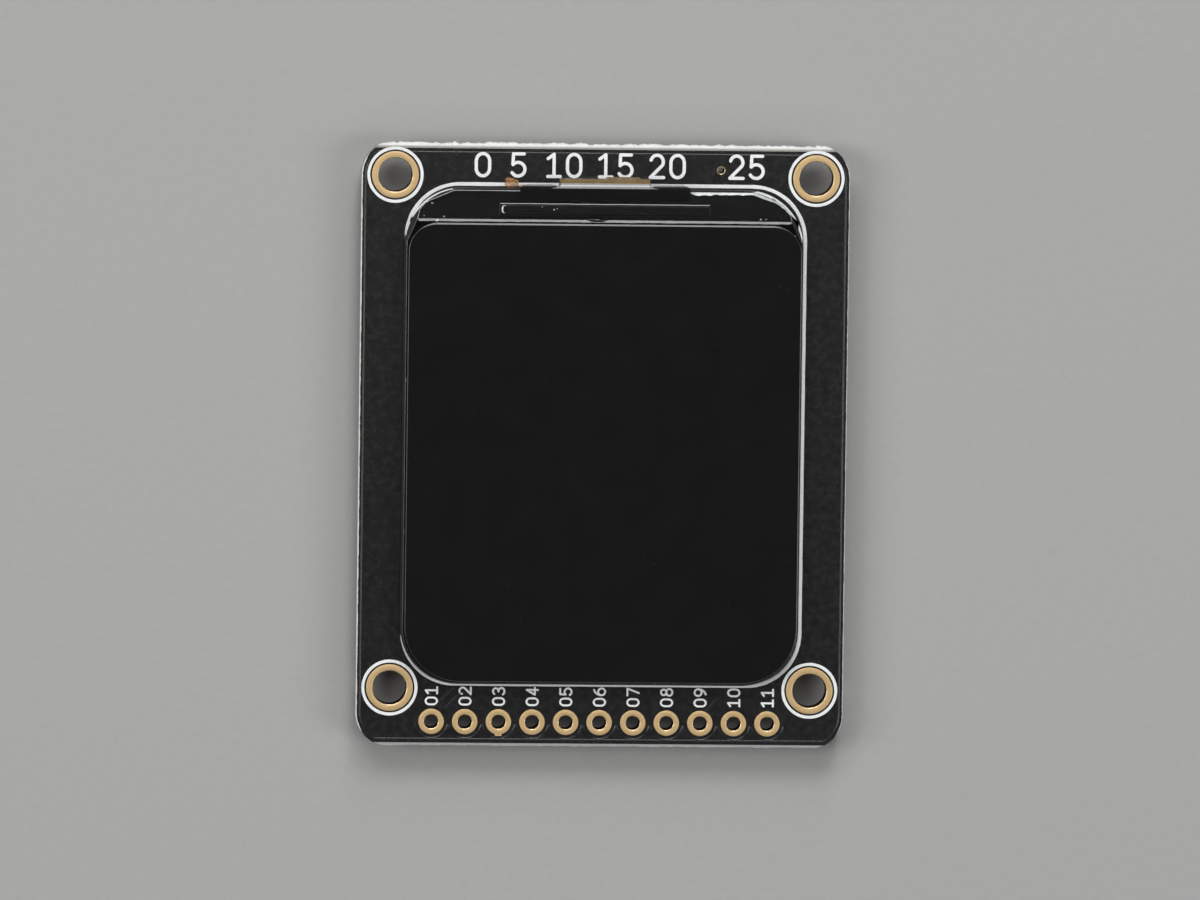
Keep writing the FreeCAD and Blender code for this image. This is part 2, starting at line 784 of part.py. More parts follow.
def connector_housing():
    """Moulded housing: floor, rear block with a roof, end walls with latch bearings, and contact slots."""
    depth = connector_depth
    body = [
        box(-connector_half, connector_half, 0, depth, 0, connector_floor),
        box(-connector_half, connector_half, depth - connector_rear_wall, depth, 0, back_height),
        box(-connector_half, connector_half, roof_y, depth, roof_low, back_height),
    ]
    for side in (-1, 1):
        x0, x1 = sorted((side * slot_half, side * connector_half))
        body.append(box(x0, x1, connector_end_setback, depth, 0, back_height))
    cuts = []
    half = contact_sheet / 2 + contact_clearance
    rear = depth - connector_rear_wall
    for x in contact_places():
        cuts.append(section([(contact_front, 0), (depth, 0), (depth, roof_low), (rear, roof_low),
                             (rear, connector_floor), (contact_front, connector_floor)], x - half, x + half))
    bearing_r = ear_r + latch_clearance
    for side in (-1, 1):
        x0, x1 = sorted((side * slot_half, side * (slot_half + latch_ear + latch_clearance)))
        bearing = Part.makeCylinder(bearing_r, x1 - x0, V(x0, pivot_y, pivot_z), V(1, 0, 0))
        mouth = box(x0, x1, pivot_y - bearing_r, pivot_y + bearing_r, pivot_z, back_height)
        cuts.append(joined([bearing, mouth]))
    return joined(body).cut(Part.makeCompound(cuts))


def connector_latch():
    """Turning latch: a plate with a slot at each contact, a rod through all the slots, and round ears."""
    half = slot_half - latch_clearance
    z0 = pivot_z - latch_seat
    front = pivot_y - latch_reach
    plate = box(-half, half, front, pivot_y + latch_rear, z0, back_height)
    slot = contact_sheet / 2 + 2 * contact_clearance
    cuts = [box(x - slot, x + slot, pivot_y - slot_front - latch_clearance, pivot_y + latch_rear, z0, back_height)
            for x in contact_places()]
    cuts.append(section([(front, z0), (front + latch_lip, z0), (front, z0 + latch_lip)], -half, half))
    axis = V(1, 0, 0)
    turns = [math.pi * i / 3 for i in range(6)]
    rod = section([(pivot_y + latch_rod_r * math.cos(t), pivot_z + latch_rod_r * math.sin(t)) for t in turns],
                  -half, half)
    ears = [Part.makeCylinder(ear_r, latch_ear + latch_clearance, V(x, pivot_y, pivot_z), axis)
            for x in (-half - latch_ear, half - latch_clearance)]
    return joined([plate.cut(Part.makeCompound(cuts)), rod] + ears)


def connector_contacts():
    """Fork contacts cut from sheet: soldered tail, sprung lower arm, and an upper arm that hooks over the rod."""
    depth, arm, gap = connector_depth, contact_arm, contact_clearance
    stem0 = depth - connector_rear_wall + gap
    stem1 = stem0 + 2 * arm
    arm_top = roof_low - gap
    touch = connector_floor + contact_rise
    front = contact_front + gap
    under = connector_floor - gap
    rod = pivot_y - latch_rod_r - gap
    upper = [(stem1, arm_top), (roof_y - gap, arm_top), (roof_y - arm, hook_top), (rod, hook_top),
             (rod - arm / 2, pivot_z), (rod, hook_low), (roof_y - arm, hook_low), (roof_y + gap, arm_top - arm),
             (stem0, arm_top - arm)]
    lower = [(stem0, under), (front + 3 * arm, under), (front + 2 * arm, touch), (front + arm, touch),
             (front, under - arm), (front, 0)]
    tail = [(depth + contact_tail, 0), (depth + contact_tail, arm), (stem1, arm)]
    half = contact_sheet / 2
    return [section(upper + lower + tail, x - half, x + half) for x in contact_places()]


def connector_anchors():
    """Two bent solder tabs that hold the housing's ends to the board."""
    tabs = []
    inner = connector_half + fit_gap
    y0 = connector_depth / 2 - anchor_length / 2
    for side in (-1, 1):
        x0, x1 = sorted((side * inner, side * (inner + anchor_sheet)))
        x2, x3 = sorted((side * inner, side * (inner + anchor_foot)))
        upright = box(x0, x1, y0, y0 + anchor_length, 0, anchor_height)
        foot = box(x2, x3, y0, y0 + anchor_length, 0, anchor_sheet)
        tabs.append(joined([upright, foot]))
    return tabs


# Small parts on the back: each place is (x, y, turn) on the board
# A leaded size is body width, body length, height, reach of the leads and their width.
# A passive's size is length, width, height and the length of each metal end.
# The rows share out the height between the card socket and the upper row, so they move with the board's length.

shifter_size = (4.4, 5.0, 1.1, 0.95, 0.24)
regulator_size = (1.6, 2.9, 1.15, 0.6, 0.4)
transistor_size = (1.3, 2.9, 1.1, 0.55, 0.4)
capacitor_size = (2.0, 1.25, 0.95, 0.45)
resistor_size = (1.6, 0.8, 0.5, 0.3)
edge_column = -board_width / 2 + 2.9
inner_column = -board_width / 2 + 5.0
upper_row = board_length / 2 - 6.46
row_share = (upper_row - socket_y) / 20
transistor_row = upper_row - 3 * row_share
resistor_row = upper_row - 5 * row_share
regulator_row = upper_row - 8.5 * row_share
capacitor_row = upper_row - 11.5 * row_share
edge_row = upper_row - 14.5 * row_share
header_row = header_y + 7.8
resistor_step = 1.6
beside_regulator = inner_column + 3.8
beside_cable = board_width / 2 - 9.8
shifter_place = (inner_column + 4.2, socket_y, 90)
regulator_place = (inner_column, regulator_row, 0)
transistor_place = (inner_column, transistor_row, 0)
capacitor_places = [(beside_regulator, regulator_row, 90), (edge_column, edge_row, 90),
                    (inner_column, capacitor_row, 0), (connector_x, header_row, 0), (beside_cable, upper_row, 90)]
resistor_places = [(beside_regulator + i * resistor_step, resistor_row, 90) for i in range(3)]
resistor_places += [(edge_column, socket_y + side * resistor_step, 90) for side in (-1, 1)]
resistor_places += [(beside_cable + (i + 1) * 1.2 * resistor_step, upper_row, 90) for i in range(2)]


def moulded_body(width, length, height):
    """Epoxy body with drafted sides, wider at its parting line."""
    draft = 0.08
    z = [chip_standoff, (chip_standoff + height) / 2, height]
    wires = []
    for level, inset in zip(z, (draft, 0, draft)):
        x, y = width / 2 - inset, length / 2 - inset
        wires.append(Part.makePolygon([V(-x, -y, level), V(x, -y, level), V(x, y, level), V(-x, y, level),
                                       V(-x, -y, level)]))
    return Part.makeLoft(wires, True, True)


def gull_lead(body_half, height, reach, width):
    """One bent lead on the +X side: out of the parting line, down, and along the board."""
    t = lead_sheet
    exit_z = (chip_standoff + height) / 2
    knee = body_half + 2 * t
    foot = body_half + reach
    points = [(body_half + fit_gap, exit_z - t / 2), (knee - t, exit_z - t / 2), (knee - t / 2, 0), (foot, 0),
              (foot, t), (knee + t / 2, t), (knee, exit_z + t / 2), (body_half + fit_gap, exit_z + t / 2)]
    wire = Part.makePolygon([V(x, -width / 2, z) for x, z in points + points[:1]])
    return Part.Face(wire).extrude(V(0, width, 0))


def leaded_part(body_width, body_length, height, reach, width, right, left, place):
    """A moulded chip: its body, and its leads at the given places on each side."""
    leads = []
    for side, places in ((1, right), (-1, left)):
        for y in places:
            lead = gull_lead(body_width / 2, height, reach, width)
            if side < 0:
                lead.rotate(V(0, 0, 0), V(0, 0, 1), 180)
            lead.translate(V(0, y, 0))
            leads.append(on_back(lead, *place))
    return on_back(moulded_body(body_width, body_length, height), *place), leads


def pitch_places(count, pitch):
    """Evenly spaced places about the middle."""
    return [(i - (count - 1) / 2) * pitch for i in range(count)]


def chip_passive(length, width, height, cap, place):
    """A two-ended chip part: its body and its two metal ends."""
    half = length / 2 - cap
    body = box(-half, half, -width / 2 + end_step, width / 2 - end_step, end_step, height - end_step)
    ends = []
    for side in (-1, 1):
        x0, x1 = sorted((side * length / 2, side * half))
        ends.append(on_back(box(x0, x1, -width / 2, width / 2, 0, height), *place))
    return on_back(body, *place), ends


os.makedirs("parts", exist_ok=True)

save("circuit_board", circuit_board())
save("mount_hole_plating", [mount_plating(x, y) for x, y in mount_places])
save("header_hole_plating", header_plating())
save("via_plating", [small_plating(x, y, via_hole_r, via_pad_r, via_sides) for x, y in via_places])

save("display_tape", display_tape())
save("backlight_frame", backlight_frame())
save("reflector_film", light_outline(film_clearance, display_low, guide_low))
save("light_guide", light_outline(film_clearance, guide_low, films_low))
film_names = ("diffuser_film", "prism_film_lower", "prism_film_upper")
for level, name in enumerate(film_names):
    low = films_low + level * film_thickness
    save(name, light_outline(film_clearance, low, low + film_thickness))
save("backlight_leds", [led_body(x, 0) for x in led_centres()])
save("backlight_flex", backlight_flex())
save("shield_tape", shield_tape())
save("rear_polariser", polariser(frame_top + shield_thickness))
save("array_glass", glass_outline(glass_low, ledge_top))
save("colour_filter_glass", filter_glass())
save("front_polariser", polariser(filter_top))
save("fill_port_seal", fill_port_seal())
save("bond_film", bond_film())
save("driver_chip", driver_chip())
save("display_flex", display_flex())
land_top = board_top + land_thickness
save("flex_lands", pad_blocks(flex_pad_spots(), flex_pad_width, flex_pad_length, board_top, land_top))
save("flex_solder", flex_solder(land_top))

socket_place = (board_width / 2 - socket_inset, socket_y, -90)
save("card_socket_base", on_back(socket_base(), *socket_place))
save("card_socket_shell", on_back(socket_shell(), *socket_place))
save("card_contacts", [on_back(strip, *socket_place) for strip in card_contacts()])
save("card_slider", on_back(card_slider(), *socket_place))
save("slider_spring", on_back(slider_spring(), *socket_place))
save("slider_cam_pin", on_back(cam_pin(), *socket_place))
save("card_detect_switch", on_back(detect_switch(), *socket_place))

connector_place = (connector_x, board_length / 2 - connector_inset, 0)
save("flex_connector_housing", on_back(connector_housing(), *connector_place))
save("flex_connector_latch", on_back(connector_latch(), *connector_place))
save("flex_connector_contacts", [on_back(c, *connector_place) for c in connector_contacts()])
save("flex_connector_anchors", [on_back(tab, *connector_place) for tab in connector_anchors()])

shifter = leaded_part(*shifter_size, pitch_places(8, 0.65), pitch_places(8, 0.65), shifter_place)
regulator = leaded_part(*regulator_size, pitch_places(3, 0.95), (-0.95, 0.95), regulator_place)
transistor = leaded_part(*transistor_size, (-0.95, 0.95), (0,), transistor_place)
for name, made in (("level_shifter", shifter), ("regulator", regulator), ("transistor", transistor)):
    save(name + "_body", made[0])
    save(name + "_leads", made[1])
for name, size, places in (("capacitor", capacitor_size, capacitor_places),
                           ("resistor", resistor_size, resistor_places)):
    made = [chip_passive(*size, place) for place in places]
    save(name + "_bodies", [body for body, ends in made])
    save(name + "_ends", [end for body, ends in made for end in ends])
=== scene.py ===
# %% [markdown]
# # A small colour display on its carrier board
#
# The object is a thin display, stuck with foam tape on a black circuit board the size of a large stamp. The
# board has gold-plated holes and white ink on its face, and on its back a memory card socket, a flat cable
# connector and a few chips.
#
# The solids come from the construction step and are loaded as a fixed frame. This lesson gives each of them
# a finish, and replaces the ones whose small forms catch the light: broken board edges, round plated holes,
# ground glass edges, a bent film cable and a coil spring.

# %% Load the frame
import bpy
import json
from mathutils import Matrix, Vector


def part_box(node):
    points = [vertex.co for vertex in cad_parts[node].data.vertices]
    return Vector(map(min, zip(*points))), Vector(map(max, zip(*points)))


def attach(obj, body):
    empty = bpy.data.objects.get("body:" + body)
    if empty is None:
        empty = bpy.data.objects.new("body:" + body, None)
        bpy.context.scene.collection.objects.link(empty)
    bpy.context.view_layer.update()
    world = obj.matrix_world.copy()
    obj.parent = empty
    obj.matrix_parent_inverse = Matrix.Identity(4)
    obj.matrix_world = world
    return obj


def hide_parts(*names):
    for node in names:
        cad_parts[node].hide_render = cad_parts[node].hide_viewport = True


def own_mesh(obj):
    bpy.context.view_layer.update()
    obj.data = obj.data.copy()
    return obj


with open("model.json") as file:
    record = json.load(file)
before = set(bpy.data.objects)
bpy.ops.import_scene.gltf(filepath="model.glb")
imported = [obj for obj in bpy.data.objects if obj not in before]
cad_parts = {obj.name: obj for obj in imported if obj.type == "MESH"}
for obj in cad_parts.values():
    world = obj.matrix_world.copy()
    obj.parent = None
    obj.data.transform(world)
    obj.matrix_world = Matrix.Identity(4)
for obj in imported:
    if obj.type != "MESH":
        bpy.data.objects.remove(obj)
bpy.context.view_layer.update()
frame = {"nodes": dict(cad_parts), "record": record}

# %% [markdown]
# ## Units
#
# Blender works in metres and the board is drawn in millimetres, so every shape is worked out in millimetres
# and scaled once, when it becomes a mesh. `span` reads a node's box in millimetres, so that a new piece
# takes its levels from the solid that it replaces or sits on. The random numbers have a seed, so the piece
# comes out the same each time.

# %% Units and levels
import json
import math
import bmesh
import bpy
import numpy as np
from mathutils import Matrix, Vector
from mathutils.geometry import tessellate_polygon

MM = 0.001
rng = np.random.default_rng(169)


def span(node):
    """Lowest and highest corner of a node, in millimetres."""
    return np.array(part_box(node)) / MM


board_low, board_top = span("circuit_board")[:, 2]
board_x, board_y = span("circuit_board")[1, :2]
ledge_top = span("array_glass")[1, 2]
print("board from", board_low, "to", board_top, "mm, glass ledge at", round(ledge_top, 3), "mm")

# %% [markdown]
# ## The camera
#
# The photograph was taken from far above with a long lens: both pairs of edges are almost parallel, and only
# a thin line of the top and left edges shows. Two small leans of the camera's line of sight give that, and a
# small roll gives the half degree by which the board is turned in the picture. The distance only has to be
# long. The lens then follows from the scale in the photograph, 13.26 pixels for a millimetre, which the
# standard pitch of the header holes gives.

# %% Camera
photo_width = 1200
pixels_per_mm = 13.263
distance = 1000.0
lean_left = math.radians(3.2)
lean_up = math.radians(4.2)
roll = math.radians(0.51)
aim = Vector((-0.2, -0.31, 3.6)) * MM

camera = bpy.data.objects.new("camera", bpy.data.cameras.new("camera"))
bpy.context.collection.objects.link(camera)
camera.data.sensor_width = 36.0
camera.data.lens = camera.data.sensor_width * distance * pixels_per_mm / photo_width
camera.data.clip_start, camera.data.clip_end = 0.05, 20.0
back = Vector((-math.tan(lean_left), math.tan(lean_up), 1.0)).normalized()
flat_right = (Vector((1, 0, 0)) - back * back.x).normalized()
right = flat_right * math.cos(roll) + back.cross(flat_right) * math.sin(roll)
axes = Matrix((right, back.cross(right), back)).transposed()
camera.matrix_world = Matrix.Translation(aim + back * distance * MM) @ axes.to_4x4()
bpy.context.scene.camera = camera
print("lens, mm:", round(camera.data.lens, 1))

# %% [markdown]
# ## Floor and light
#
# A small shiny object is lit by what it mirrors. Four soft lights stand round it, all rather high but none
# overhead, so that little of their light falls straight down a hole or under the board. A narrow strip hangs
# behind the top edge: the bend of the film cable and all fine edges that lean back mirror it as one thin
# bright line. The screen mirrors what is straight above it, and nothing bright is there, so it stays black.
# The world gives a dim even grey.

# %% Floor and light
def softbox(name, place, width, height, power):
    """A rectangular light at a place in metres, turned to face the object."""
    lamp = bpy.data.lights.new(name, "AREA")
    lamp.shape, lamp.size, lamp.size_y, lamp.energy = "RECTANGLE", width, height, power
    made = bpy.data.objects.new(name, lamp)
    bpy.context.collection.objects.link(made)
    made.location = place
    made.rotation_mode = "QUATERNION"
    made.rotation_quaternion = Vector(place).to_track_quat("Z", "Y")


softbox("light_behind", (-0.10, 0.55, 0.72), 0.6, 0.26, 3.2)
softbox("light_left", (-0.54, 0.05, 0.72), 0.26, 0.5, 2.6)
softbox("light_right", (0.56, -0.12, 0.70), 0.26, 0.5, 1.9)
softbox("light_front", (0.08, -0.55, 0.70), 0.5, 0.26, 0.5)
softbox("light_strip", (0.04, 0.43, 0.56), 0.09, 0.80, 1.6)

world = bpy.data.worlds.new("studio")
bpy.context.scene.world = world
world.use_nodes = True
sky = world.node_tree.nodes["Background"].inputs
sky["Color"].default_value = (1.0, 1.0, 1.0, 1.0)
sky["Strength"].default_value = 0.10
bpy.context.scene.view_settings.view_transform = "Standard"

floor_half = 1.5
floor_mesh = bpy.data.meshes.new("floor")
floor_corners = np.array([(-1, -1, 0), (1, -1, 0), (1, 1, 0), (-1, 1, 0)]) * floor_half
floor_mesh.from_pydata(floor_corners.tolist(), [], [(0, 1, 2, 3)])
floor = bpy.data.objects.new("floor", floor_mesh)
bpy.context.collection.objects.link(floor)
print("five lights and a floor of", floor_half * 2, "m")

# %% [markdown]
# ## Writing a finish
#
# Colours are written as they look on a screen, in hex, and `linear` turns them into the values that light
# adds up in. `add` puts one node into a tree, with its settings and its links. `finish` starts a material,
# and writes what is the same all over straight onto the shader. It also gives the socket that says where a
# point lies on the object, because every pattern here is tied to real places and sizes. `per_mm` turns a
# size in millimetres into the scale that a pattern needs for it.

# %% Helpers for finishes
def linear(colour):
    """sRGB hex to linear: c / 12.92 in the darkest part, ((c + 0.055) / 1.055) to the power 2.4 above it."""
    c = np.array([int(colour[k:k + 2], 16) for k in (1, 3, 5)]) / 255
    return (*np.where(c <= 0.04045, c / 12.92, ((c + 0.055) / 1.055) ** 2.4), 1.0)


def connect(tree, source, socket):
    """A number goes onto the socket, a socket is linked to it, and so is the first live output of a node."""
    if isinstance(source, bpy.types.Node):
        source = next(output for output in source.outputs if output.enabled)
    if isinstance(source, bpy.types.NodeSocket):
        tree.links.new(source, socket)
    else:
        socket.default_value = source


def add(tree, kind, inputs=None, **settings):
    """One node: settings are its own, and inputs are what its sockets are connected to."""
    made = tree.nodes.new("ShaderNode" + kind)
    for key, value in settings.items():
        setattr(made, key, value)
    for key, source in (inputs or {}).items():
        connect(tree, source, made.inputs[key])
    return made


def dress(tree, **sockets):
    """What the shader's own sockets are connected to: Base_Color=blend, Metallic=1.0 and so on."""
    for key, source in sockets.items():
        connect(tree, source, tree.nodes["Principled BSDF"].inputs[key.replace("_", " ")])


def finish(name, **sockets):
    """A new material with numbers on its shader, its tree, and the socket with the place on the object."""
    made = bpy.data.materials.new(name)
    made.use_nodes = True
    dress(made.node_tree, **sockets)
    return made, made.node_tree, add(made.node_tree, "TexCoord").outputs["Object"]


def per_mm(grain, stretch=(1, 1, 1)):
    """Scale along each axis: 1 / (grain * stretch), with the grain in millimetres."""
    return [1 / (grain * MM * s) for s in stretch]


print("mask black as light:", [round(v, 4) for v in linear("#0f0f10")[:3]])

# %% [markdown]
# ## A grain from a real size
#
# Most surfaces here differ from a flat colour in three ways at once: their colour wanders a little, they
# shine unevenly and they are not quite flat. One noise can drive all three. `grained` takes the grain in
# millimetres, the two colours that it wanders between, the two ends of the roughness and how deep the relief
# is in millimetres. Stretching the noise along one axis turns the grain into brush strokes or fibres.

# %% A grained finish
noise_low, noise_high = 0.3, 0.7


def grained(name, grain, colours, rough, relief, stretch=(1, 1, 1), detail=4.0, **sockets):
    """Noise at position / (grain * stretch) mixes the colours, sets the roughness and lifts the surface."""
    made, tree, place = finish(name, **sockets)
    scaled = add(tree, "Mapping", {"Vector": place, "Scale": per_mm(grain, stretch)})
    noise = add(tree, "TexNoise", {"Vector": scaled, "Scale": 1.0, "Detail": detail})
    blend = add(tree, "Mix", {0: noise, 6: linear(colours[0]), 7: linear(colours[1])}, data_type="RGBA")
    shine = add(tree, "MapRange", {"Value": noise, "From Min": noise_low, "From Max": noise_high,
                                   "To Min": rough[0], "To Max": rough[1]})
    bump = add(tree, "Bump", {"Height": noise, "Distance": relief * MM})
    dress(tree, Base_Color=blend, Roughness=shine, Normal=bump)
    return made


floor_paper = grained("matt_studio_paper", 0.6, ("#9e9e9d", "#a6a6a5"), (0.85, 0.95), 0.02)
floor_mesh.materials.append(floor_paper)
print("floor is", floor_paper.name)

# %% [markdown]
# ## From a grid of points to a mesh
#
# Every new piece is a grid of points: rows by columns, each point a place in millimetres. `shell` numbers
# the small faces between four neighbours for the whole grid at once, and closes the grid round where it
# should meet itself. `make` puts several shells into one mesh, points all the faces outwards, keeps edges
# sharp where two faces meet at more than a set angle, and hangs the piece on the body that carries it.

# %% Shells and meshes
def shell(grid, ring_rows=False, ring_columns=True, caps=False, paint=0):
    """Face (i, j) joins points (i, j), (i + 1, j), (i + 1, j + 1) and (i, j + 1). Caps close the end rows."""
    rows, columns = grid.shape[:2]
    i, j = np.indices((rows - (not ring_rows), columns - (not ring_columns)))
    k, m = (i + 1) % rows, (j + 1) % columns
    corners = [i * columns + j, k * columns + j, k * columns + m, i * columns + m]
    faces = [np.stack(corners, -1).reshape(-1, 4)]
    if caps:
        first_row = np.arange(columns)[None, :]
        faces += [first_row, first_row + (rows - 1) * columns]
    return grid.reshape(-1, 3), [(f, paint) for f in faces]


def make(name, shells, paints, replaces=(), sharp=35):
    """One object from shells of points and faces. A face's paint is its place in paints, the materials."""
    starts = np.cumsum([0] + [len(points) for points, _ in shells])
    parts = [(f + start, p) for (_, faces), start in zip(shells, starts) for f, p in faces]
    corners = np.concatenate([f.ravel() for f, _ in parts])
    sides = np.concatenate([np.full(len(f), f.shape[1]) for f, _ in parts])
    mesh = bpy.data.meshes.new(name)
    mesh.vertices.add(starts[-1])
    mesh.vertices.foreach_set("co", (np.concatenate([points for points, _ in shells]) * MM).ravel())
    mesh.loops.add(len(corners))
    mesh.loops.foreach_set("vertex_index", corners)
    mesh.polygons.add(len(sides))
    mesh.polygons.foreach_set("loop_start", np.cumsum(sides) - sides)
    mesh.polygons.foreach_set("material_index", np.concatenate([np.full(len(f), p) for f, p in parts]))
    mesh.update(calc_edges=True)
    for paint in paints:
        mesh.materials.append(paint)
    tidy = bmesh.new()
    tidy.from_mesh(mesh)
    bmesh.ops.remove_doubles(tidy, verts=tidy.verts, dist=0.0005 * MM)
    bmesh.ops.recalc_face_normals(tidy, faces=tidy.faces)
    tidy.to_mesh(mesh)
    tidy.free()
    return placed(name, mesh, "board", replaces, sharp)


def placed(name, mesh, body, replaces, sharp):
    """The mesh as an object on its body, smooth except at edges sharper than the angle."""
    mesh.shade_smooth()
    mesh.set_sharp_from_angle(angle=math.radians(sharp))
    made = bpy.data.objects.new(name, mesh)
    bpy.context.collection.objects.link(made)
    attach(made, body)
    if replaces:
        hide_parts(*replaces)
    print(f"{name}: {len(mesh.polygons)} faces")
    return made


# %% [markdown]
# ## Lines in plan
#
# A board, a sheet of glass and an ink line all start as a closed line in plan. `rounded_line` gives a
# rectangle with its own radius at each corner. `denser` adds points along it without moving the old ones,
# and `inset` draws the line in by a distance, which may differ from point to point: that is how an edge gets
# its bevel and its chips. `ragged` gives the unevenness of torn and worn edges.

# %% Lines in plan
def arc(x, y, r, a):
    """Points (x + r cos a, y + r sin a)."""
    return np.stack([x + r * np.cos(a), y + r * np.sin(a)], -1)


def circle(x, y, r, sides):
    """A closed round line, anticlockwise."""
    return arc(x, y, r, np.linspace(0, 2 * math.pi, sides, endpoint=False))


def rounded_line(x0, x1, y0, y1, radii, steps=14):
    """A quarter circle in each corner, anticlockwise. radii: low left, low right, top right, top left."""
    turn = np.linspace(0, math.pi / 2, steps)
    corners = [(x0, y0, 1, 1, math.pi), (x1, y0, -1, 1, 1.5 * math.pi), (x1, y1, -1, -1, 0.0),
               (x0, y1, 1, -1, 0.5 * math.pi)]
    return np.concatenate([arc(x + sx * r, y + sy * r, r, turn + a)
                           for (x, y, sx, sy, a), r in zip(corners, np.broadcast_to(radii, 4))])


def denser(line, spacing):
    """The closed line read at its old points and every so many millimetres between, by distance along it."""
    closed = np.vstack([line, line[:1]])
    run = np.concatenate([[0], np.cumsum(np.linalg.norm(np.diff(closed, axis=0), axis=1))])
    marks = np.unique(np.concatenate([run[:-1], np.arange(0, run[-1], spacing)]).round(3))
    return np.stack([np.interp(marks, run, closed[:, k]) for k in (0, 1)], -1)


def inset(line, distance):
    """Each point moved inwards along its two edges' bisector, by distance / cos(half the corner's turn)."""
    edge = np.roll(line, -1, axis=0) - line
    edge = edge / np.maximum(np.linalg.norm(edge, axis=1, keepdims=True), 1e-9)
    after = np.stack([-edge[:, 1], edge[:, 0]], -1)
    before = np.roll(after, 1, axis=0)
    bisector = (before + after) / (1 + np.sum(before * after, axis=1, keepdims=True))
    return line + bisector * np.reshape(distance, (-1, 1))


def at_height(line, height):
    """A line in plan, lifted to one height or to a height for each point."""
    return np.column_stack([line, np.broadcast_to(height, len(line))])


def ragged(count, coarse, low, high):
    """Random numbers from low to high on a closed line: white noise, averaged over so many neighbours."""
    noise = rng.random(count)
    window = np.ones(coarse) / coarse
    smooth = np.convolve(np.concatenate([noise, noise[:coarse - 1]]), window, "valid")
    smooth = (smooth - smooth.min()) / (smooth.max() - smooth.min())
    return low + (high - low) * smooth


print("a rounded line has", len(rounded_line(0, 10, 0, 20, 2.0)), "points")

# %% [markdown]
# ## The board's finishes
#
# The board is glass cloth in epoxy, covered with black solder mask: a thin lacquer with a half gloss,
# through which the copper below shows as a faint relief. The edges are bare. The sides were milled, and the
# top and bottom edges were scored from both faces and snapped, which leaves two slanted grey cuts and
# between them a torn white web of fibres. So the edge's finish gets its fibres as a stretched noise, and
# turns whiter with distance from the board's middle, where only the torn web reaches. Along the milled sides
# the mask has worn off the very edge, and the pale laminate draws a bright hairline there.

# %% Solder mask and bare edges
worn_edge = grained("worn_laminate_edge", 0.08, ("#a9a7a1", "#f4f3ef"), (0.35, 0.6), 0.01, IOR=1.55)
mask = grained("black_solder_mask", 0.5, ("#0f0f10", "#151516"), (0.22, 0.30), 0.0012, detail=2.0, IOR=1.52)

web_starts, web_is_full = 22.44, 22.52
bare_edge, tree, place = finish("bare_glass_epoxy", IOR=1.55, Specular_IOR_Level=0.35)
fibre_place = add(tree, "Mapping", {"Vector": place, "Scale": per_mm(1.0, (0.10, 0.25, 0.05))})
fibres = add(tree, "TexNoise", {"Vector": fibre_place, "Scale": 1.0, "Detail": 5.0})
axis = add(tree, "SeparateXYZ", {"Vector": place})
reach = add(tree, "Math", {0: axis.outputs["Y"]}, operation="ABSOLUTE")
torn = add(tree, "MapRange", {"Value": reach, "From Min": web_starts * MM, "From Max": web_is_full * MM})
cut_colour = add(tree, "Mix", {0: fibres, 6: linear("#6f6d67"), 7: linear("#c9c6bd")}, data_type="RGBA")
torn_colour = add(tree, "Mix", {0: fibres, 6: linear("#c9c8c5"), 7: linear("#ffffff")}, data_type="RGBA")
edge_colour = add(tree, "Mix", {0: torn, 6: cut_colour, 7: torn_colour}, data_type="RGBA")
edge_shine = add(tree, "MapRange", {"Value": fibres, "To Min": 0.75, "To Max": 0.45})
edge_bump = add(tree, "Bump", {"Height": fibres, "Distance": 0.05 * MM})
dress(tree, Base_Color=edge_colour, Roughness=edge_shine, Normal=edge_bump)
print("board finishes:", mask.name, bare_edge.name, worn_edge.name)

# %% [markdown]
# ## The board
#
# A solid cut out of a block would give the board clean edges. The photograph shows a torn one, so the board
# is a stack of its own outline at a dozen heights. At each height the outline is held back to a limit in y:
# to the face, to the end of the slanted cut, or to the torn web, whose limit is ragged from point to point.
# The corners' arcs are held back with the rest, which gives the small kink that a scored corner has. The
# last step up to the face is the worn strip. It is ragged too, and it fades out before the corners.

# %% The board's outline and its limits
corner_radius = 2.54
score_depth, score_run = 0.5, 0.2
torn_top, torn_low = 0.30, 0.10
worn_depth, worn_width, worn_share_right, unworn_step = 0.05, 0.10, 0.6, 0.002
milled_end, milled_fade = 0.9, 0.5
outline = denser(rounded_line(-board_x, board_x, -board_y, board_y, corner_radius, 20), 0.11)
points_round = len(outline)
coarse_tear = ragged(points_round, 4, 0.25, 1.0)


def held_back(height, top, low):
    """The outline at one height, with y kept between -low and top, each a number or one for each point."""
    return at_height(np.stack([outline[:, 0], np.clip(outline[:, 1], -low, top)], -1), height)


levels = []
web_heights = np.linspace(board_low + score_depth, board_top - score_depth, 9)
for height in web_heights:
    bulge = math.sqrt(max(0.0, 1 - (2 * (height - web_heights.mean()) / np.ptp(web_heights)) ** 4))
    tear = coarse_tear * ragged(points_round, 2, 0.55, 1.0)
    tear = tear / tear.max() * bulge
    levels.append(held_back(height, board_y - torn_top + torn_top * tear,
                            board_y - torn_low + torn_low * tear))
face_top, face_low = board_y - torn_top - score_run, board_y - torn_low - score_run
worn_foot = held_back(board_top - worn_depth, face_top, face_low)
milled = np.clip((board_y - milled_end - np.abs(outline[:, 1])) / milled_fade, 0, 1)
milled = milled * np.where(outline[:, 0] < 0, 1.0, worn_share_right)
worn = unworn_step + worn_width * milled * ragged(points_round, 3, 0.6, 1.1)
face = at_height(inset(worn_foot[:, :2], worn), board_top)
levels = [held_back(board_low, face_top, face_low), *levels, worn_foot, face]
print("outline has", points_round, "points at", len(levels), "heights")

